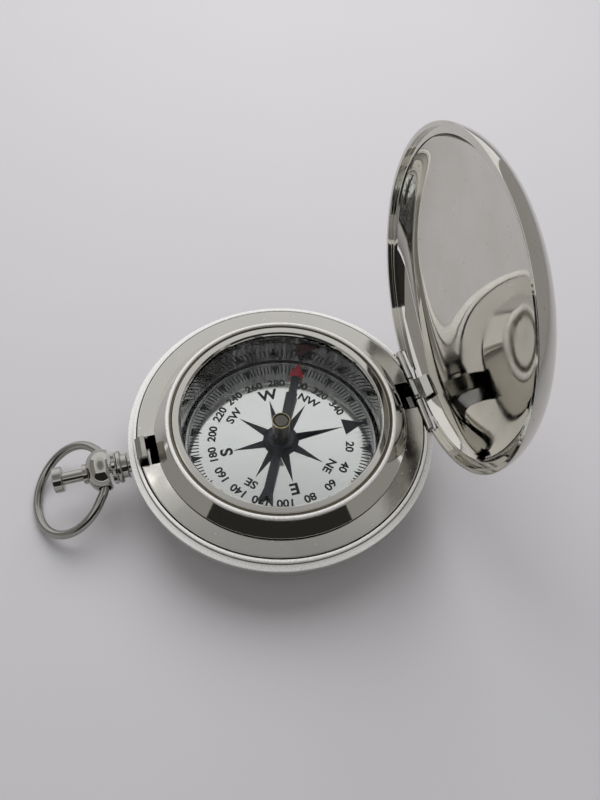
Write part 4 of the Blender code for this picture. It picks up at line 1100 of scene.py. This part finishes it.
def make_neck():
    start = RIM_RADIUS + SEAT_GAP
    bead_start = start + NECK_LENGTH
    collar_start = bead_start + NECK_BEAD_WIDTH
    half = NECK_BEAD_WIDTH / 2
    bead = arc((NECK_BEAD_RADIUS - half, bead_start + half), half, -math.pi / 2, math.pi / 2, BEAD_STEPS)
    edge = COLLAR_FLUTE_DEPTH / 2
    section = [
        (NECK_BORE, NECK_INNER_END),
        (SPIGOT_RADIUS, NECK_INNER_END),
        (SPIGOT_RADIUS, start),
        (NECK_RADIUS + NECK_FLARE, start, edge),
        (NECK_RADIUS, start + NECK_FLARE, edge),
        (NECK_RADIUS, bead_start),
        *bead,
        (NECK_WAIST_RADIUS, collar_start),
        (NECK_WAIST_RADIUS, collar_start + edge),
        (COLLAR_RADIUS, collar_start + edge, edge),
        (COLLAR_RADIUS, COLLAR_END - edge, edge),
        (NECK_WAIST_RADIUS, COLLAR_END - edge),
        (NECK_WAIST_RADIUS, COLLAR_END),
        (NECK_BORE, COLLAR_END),
    ]
    bm = turned(rounded(section), PENDANT_SEGMENTS)
    for vert in bm.verts:
        radius = math.hypot(vert.co.x, vert.co.y)
        if radius > NECK_WAIST_RADIUS + WELD and vert.co.z > collar_start + edge / 2:
            turn = math.atan2(vert.co.y, vert.co.x)
            share = 1 - COLLAR_FLUTE_DEPTH / radius * (0.5 - 0.5 * math.cos(COLLAR_FLUTES * turn))
            vert.co.x *= share
            vert.co.y *= share
    add_piece("neck", along_pendant(bm), PENDANT, "case", ["pendant_neck"])


def make_ball():
    first = math.asin((BALL_START - BALL_CENTRE) / BALL_HALF_LENGTH)
    last = math.acos(BALL_MOUTH_RADIUS / BALL_RADIUS)
    curve = []
    for across, along in arc((0, 0), 1.0, first, last, CURVE_STEPS):
        curve.append((BALL_RADIUS * across, BALL_CENTRE + BALL_HALF_LENGTH * along))
    step = BALL_END - BALL_STEP_DEPTH
    section = [
        (NECK_BORE, BALL_START),
        *curve,
        (BALL_MOUTH_RADIUS, BALL_END, SKIRT_EDGE),
        (BALL_BORE, BALL_END, SKIRT_EDGE),
        (BALL_BORE, step),
        (NECK_BORE, step),
    ]
    sockets = []
    for side in (1, -1):
        ends = sorted((side * (BALL_RADIUS - BOW_SOCKET_DEPTH), side * (BALL_RADIUS + CUT_MARGIN)))
        socket = rod(BOW_SOCKET_RADIUS, *ends)
        bmesh.ops.rotate(socket, verts=socket.verts, cent=(0, 0, 0),
                         matrix=Matrix.Rotation(-math.pi / 2, 3, "X"))
        bmesh.ops.translate(socket, verts=socket.verts, vec=(-BALL_CENTRE, 0, PENDANT_LEVEL))
        sockets.append(socket)
    ball = along_pendant(turned(rounded(section), PENDANT_SEGMENTS))
    add_piece("ball", ball, PENDANT, "case", ["pendant_ball"], sockets)


def make_button():
    head = BUTTON_END - BUTTON_THICKNESS
    step = BALL_END - BUTTON_TRAVEL
    section = [
        (0, STEM_END),
        (STEM_RADIUS, STEM_END, SKIRT_EDGE),
        (STEM_RADIUS, step),
        (SHAFT_RADIUS, step, SKIRT_EDGE),
        (SHAFT_RADIUS, head, SKIRT_EDGE),
        (BUTTON_RADIUS, head, BUTTON_EDGE),
        (BUTTON_RADIUS, BUTTON_END, BUTTON_EDGE),
        (0, BUTTON_END),
    ]
    bm = along_pendant(turned(rounded(section), PENDANT_SEGMENTS))
    add_piece("button", bm, PENDANT, "button", ["push_button"])


def wire(route, radius, sides=WIRE_SIDES):
    """A closed round wire along a flat route of (x, y) points."""
    bm = bmesh.new()
    loops = []
    for index, point in enumerate(route):
        before = Vector(route[max(index - 1, 0)])
        after = Vector(route[min(index + 1, len(route) - 1)])
        along = (after - before).normalized()
        across = Vector((-along.y, along.x, 0))
        loop = []
        for side in range(sides):
            angle = math.tau * side / sides
            offset = across * math.cos(angle) + Vector((0, 0, 1)) * math.sin(angle)
            loop.append(bm.verts.new(Vector((*point, 0)) + offset * radius))
        loops.append(loop)
    for first, second in zip(loops, loops[1:]):
        for side in range(sides):
            after = (side + 1) % sides
            bm.faces.new((first[side], first[after], second[after], second[side]))
    bm.faces.new(loops[0])
    bm.faces.new(reversed(loops[-1]))
    return bm


def make_bow():
    """The bent wire: pin, bend, ring, bend, pin."""
    pin_end = BALL_RADIUS - BOW_SOCKET_DEPTH + SEAT_GAP
    bend = BALL_RADIUS + BOW_BEND_GAP
    ring = arc((-BOW_CENTRE, 0), BOW_RADIUS, BOW_BEND_ANGLE, math.tau - BOW_BEND_ANGLE, BOW_STEPS)
    corner = Vector((0, bend))
    start = Vector((0, bend - BOW_BEND_ROUND))
    end = Vector(ring[0])
    route = [(0, pin_end), tuple(start)]
    for step in range(1, BEND_STEPS):
        share = step / BEND_STEPS
        route.append(tuple(start.lerp(corner, share).lerp(corner.lerp(end, share), share)))
    route += ring[:len(ring) // 2 + 1]
    route += [(x, -y) for x, y in reversed(route[:-1])]
    drop = PENDANT_LEVEL - BOW_WIRE_RADIUS - TABLE_GAP
    droop = -math.asin(drop / (BOW_CENTRE + BOW_RADIUS))
    place = Matrix.Translation((-BALL_CENTRE, 0, PENDANT_LEVEL)) @ Matrix.Rotation(droop, 4, "Y")
    bm = wire(route, BOW_WIRE_RADIUS - 2 * HAIR)
    add_piece("bow_wire", bm, BOW, "bow", ["bow_ring"], place=place)


# CAD nodes that stay, with finer edges and finishes

KEPT_NODES = {
    "pivot_post": SPRING,
    "lid_knuckle": WORN_SHADED,
    "hinge_knuckle_far": WORN_SHADED,
    "hinge_knuckle_near": WORN_SHADED,
    "hinge_pin": SPRING,
    "lift_spring": SPRING,
    "lift_spring_screw": SPRING,
    "catch_spring": WORN_SHADED,
    "catch_spring_screw": SPRING,
    "button_clip": SPRING,
}


def dress_kept_nodes():
    for name, material in KEPT_NODES.items():
        node = frame["nodes"][name]
        node.data.materials.clear()
        node.data.materials.append(material)
        weld = node.modifiers.new("weld", "WELD")
        weld.merge_threshold = WELD
        bevel_edges(node, KEPT_EDGE)


# Floor, light and camera

FLOOR_SIZE = 3.0
FLOOR_COLOUR = (0.75, 0.735, 0.755)
FLOOR_ROUGHNESS = 0.75
FLOOR_MOTTLE = 0.97
WORLD_COLOUR = (1.0, 0.995, 1.0)
FILL = 0.3
# The studio that metal and glass show: how far up a direction points, and its strength there
STUDIO = ((0.6, 1.0), (0.79, 0.78), (0.86, 0.72), (0.925, 0.36), (0.99, 0.28))
KEY_SIZE = 0.34
KEY_POWER = 0.68
KEY_PLACE = Vector((0.045, 0.165, 0.27))
# Studio cards: name, centre, size, direction that it faces, colour
CARDS = (
    ("lamp_card", (-0.042, 0.262, 0.5), (0.035, 0.035), (0, 0, -1), (1.7, 1.7, 1.68)),
    ("left_card", (-0.45, 0.1, 0.2), (0.62, 0.36), (1, 0, 0), (0.34, 0.33, 0.32)),
    ("right_card", (0.4, -0.135, 0.27), (0.97, 0.5), (-1, 0, 0), (0.35, 0.34, 0.33)),
    ("front_card", (-0.36, -0.36, 0.25), (1.22, 0.42), (0, 1, 0), (0.03, 0.028, 0.026)),
)
# Camera fitted to the photo's circles: it looks at a point on the rim's level
FIT_AZIMUTH = math.radians(-17.33)
FIT_ELEVATION = math.radians(57.14)
FIT_ROLL = math.radians(2.91)
FIT_DISTANCE = 131.14 * MM
FIT_TARGET = Vector((4.339 * MM, 4.195 * MM, RIM_LEVEL))
IMAGE_HEIGHT = 800
FOCAL_PIXELS = 778.5
CLIP_START = 1 * MM


def make_floor():
    bm = bmesh.new()
    bmesh.ops.create_grid(bm, x_segments=1, y_segments=1, size=FLOOR_SIZE / 2)
    floor = new_object("floor", bm)
    finish = Finish("floor", FLOOR_COLOUR, roughness=FLOOR_ROUGHNESS)
    mottle = finish.noise(per_metre=30.0, detail=4.0)
    finish.feed("Base Color", finish.blend(mottle, FLOOR_COLOUR, toned(FLOOR_COLOUR, FLOOR_MOTTLE)))
    floor.data.materials.append(finish.material)


def make_card(name, centre, size, facing, colour):
    """A studio card that only mirror-like surfaces see, as plain light of one colour."""
    bm = bmesh.new()
    bmesh.ops.create_grid(bm, x_segments=1, y_segments=1, size=0.5)
    bmesh.ops.scale(bm, verts=bm.verts, vec=(size[0], size[1], 1))
    card = new_object(name, bm)
    card.location = centre
    card.rotation_mode = "QUATERNION"
    card.rotation_quaternion = Vector(facing).to_track_quat("Z", "Y")
    material = bpy.data.materials.new(name)
    material.use_nodes = True
    nodes = material.node_tree.nodes
    links = material.node_tree.links
    nodes.remove(nodes["Principled BSDF"])
    emission = nodes.new("ShaderNodeEmission")
    emission.inputs["Color"].default_value = (*colour, 1.0)
    links.new(emission.outputs["Emission"], nodes["Material Output"].inputs["Surface"])
    card.data.materials.append(material)
    for ray in ("camera", "diffuse", "transmission", "volume_scatter", "shadow"):
        setattr(card, f"visible_{ray}", False)


def make_world():
    """Soft fill for the object. Its metal and glass show a white studio that darkens overhead."""
    world = bpy.data.worlds.new("studio")
    bpy.context.scene.world = world
    world.use_nodes = True
    nodes = world.node_tree.nodes
    links = world.node_tree.links
    axes = nodes.new("ShaderNodeSeparateXYZ")
    links.new(nodes.new("ShaderNodeTexCoord").outputs["Generated"], axes.inputs["Vector"])
    shown = nodes.new("ShaderNodeValToRGB")
    steps = shown.color_ramp.elements
    steps.remove(steps[0])
    for upness, level in STUDIO:
        steps.new(upness).color = (level, level, level, 1.0)
    steps.remove(steps[-1])
    links.new(axes.outputs["Z"], shown.inputs["Fac"])
    path = nodes.new("ShaderNodeLightPath")
    seen = path.outputs["Is Camera Ray"]
    for ray in ("Is Glossy Ray", "Is Transmission Ray"):
        either = nodes.new("ShaderNodeMath")
        either.operation = "MAXIMUM"
        links.new(seen, either.inputs[0])
        links.new(path.outputs[ray], either.inputs[1])
        seen = either.outputs["Value"]
    strength = nodes.new("ShaderNodeMix")
    links.new(seen, strength.inputs["Factor"])
    strength.inputs["A"].default_value = FILL
    links.new(shown.outputs["Color"], strength.inputs["B"])
    background = nodes["Background"]
    background.inputs["Color"].default_value = (*WORLD_COLOUR, 1.0)
    links.new(strength.outputs["Result"], background.inputs["Strength"])


def make_light():
    make_world()
    lamp = bpy.data.lights.new("key", "AREA")
    lamp.shape = "DISK"
    lamp.size = KEY_SIZE
    lamp.energy = KEY_POWER
    key = bpy.data.objects.new("key", lamp)
    key.location = KEY_PLACE
    key.rotation_euler = (-KEY_PLACE).to_track_quat("-Z", "Y").to_euler()
    key.visible_glossy = False
    key.visible_transmission = False
    bpy.context.scene.collection.objects.link(key)
    for card in CARDS:
        make_card(*card)


def make_camera():
    camera = bpy.data.cameras.new("camera")
    camera.sensor_fit = "AUTO"
    camera.lens = camera.sensor_width * FOCAL_PIXELS / IMAGE_HEIGHT
    camera.clip_start = CLIP_START
    holder = bpy.data.objects.new("camera", camera)
    bpy.context.scene.collection.objects.link(holder)
    flat = math.cos(FIT_ELEVATION)
    back = Vector((math.sin(FIT_AZIMUTH) * flat, -math.cos(FIT_AZIMUTH) * flat, math.sin(FIT_ELEVATION)))
    holder.rotation_mode = "QUATERNION"
    level = (-back).to_track_quat("-Z", "Y")
    holder.rotation_quaternion = level @ Matrix.Rotation(FIT_ROLL, 3, "Z").to_quaternion()
    holder.location = FIT_TARGET + back * FIT_DISTANCE
    bpy.context.scene.camera = holder


make_case()
make_ledge()
make_bezel()
make_glass()
make_dial()
print_rose()
print_scale()
print_words()
make_needle()
make_cap()
make_lid()
make_neck()
make_ball()
make_button()
make_bow()
dress_kept_nodes()
make_floor()
make_light()
make_camera()
bpy.context.scene.view_settings.view_transform = "Standard"
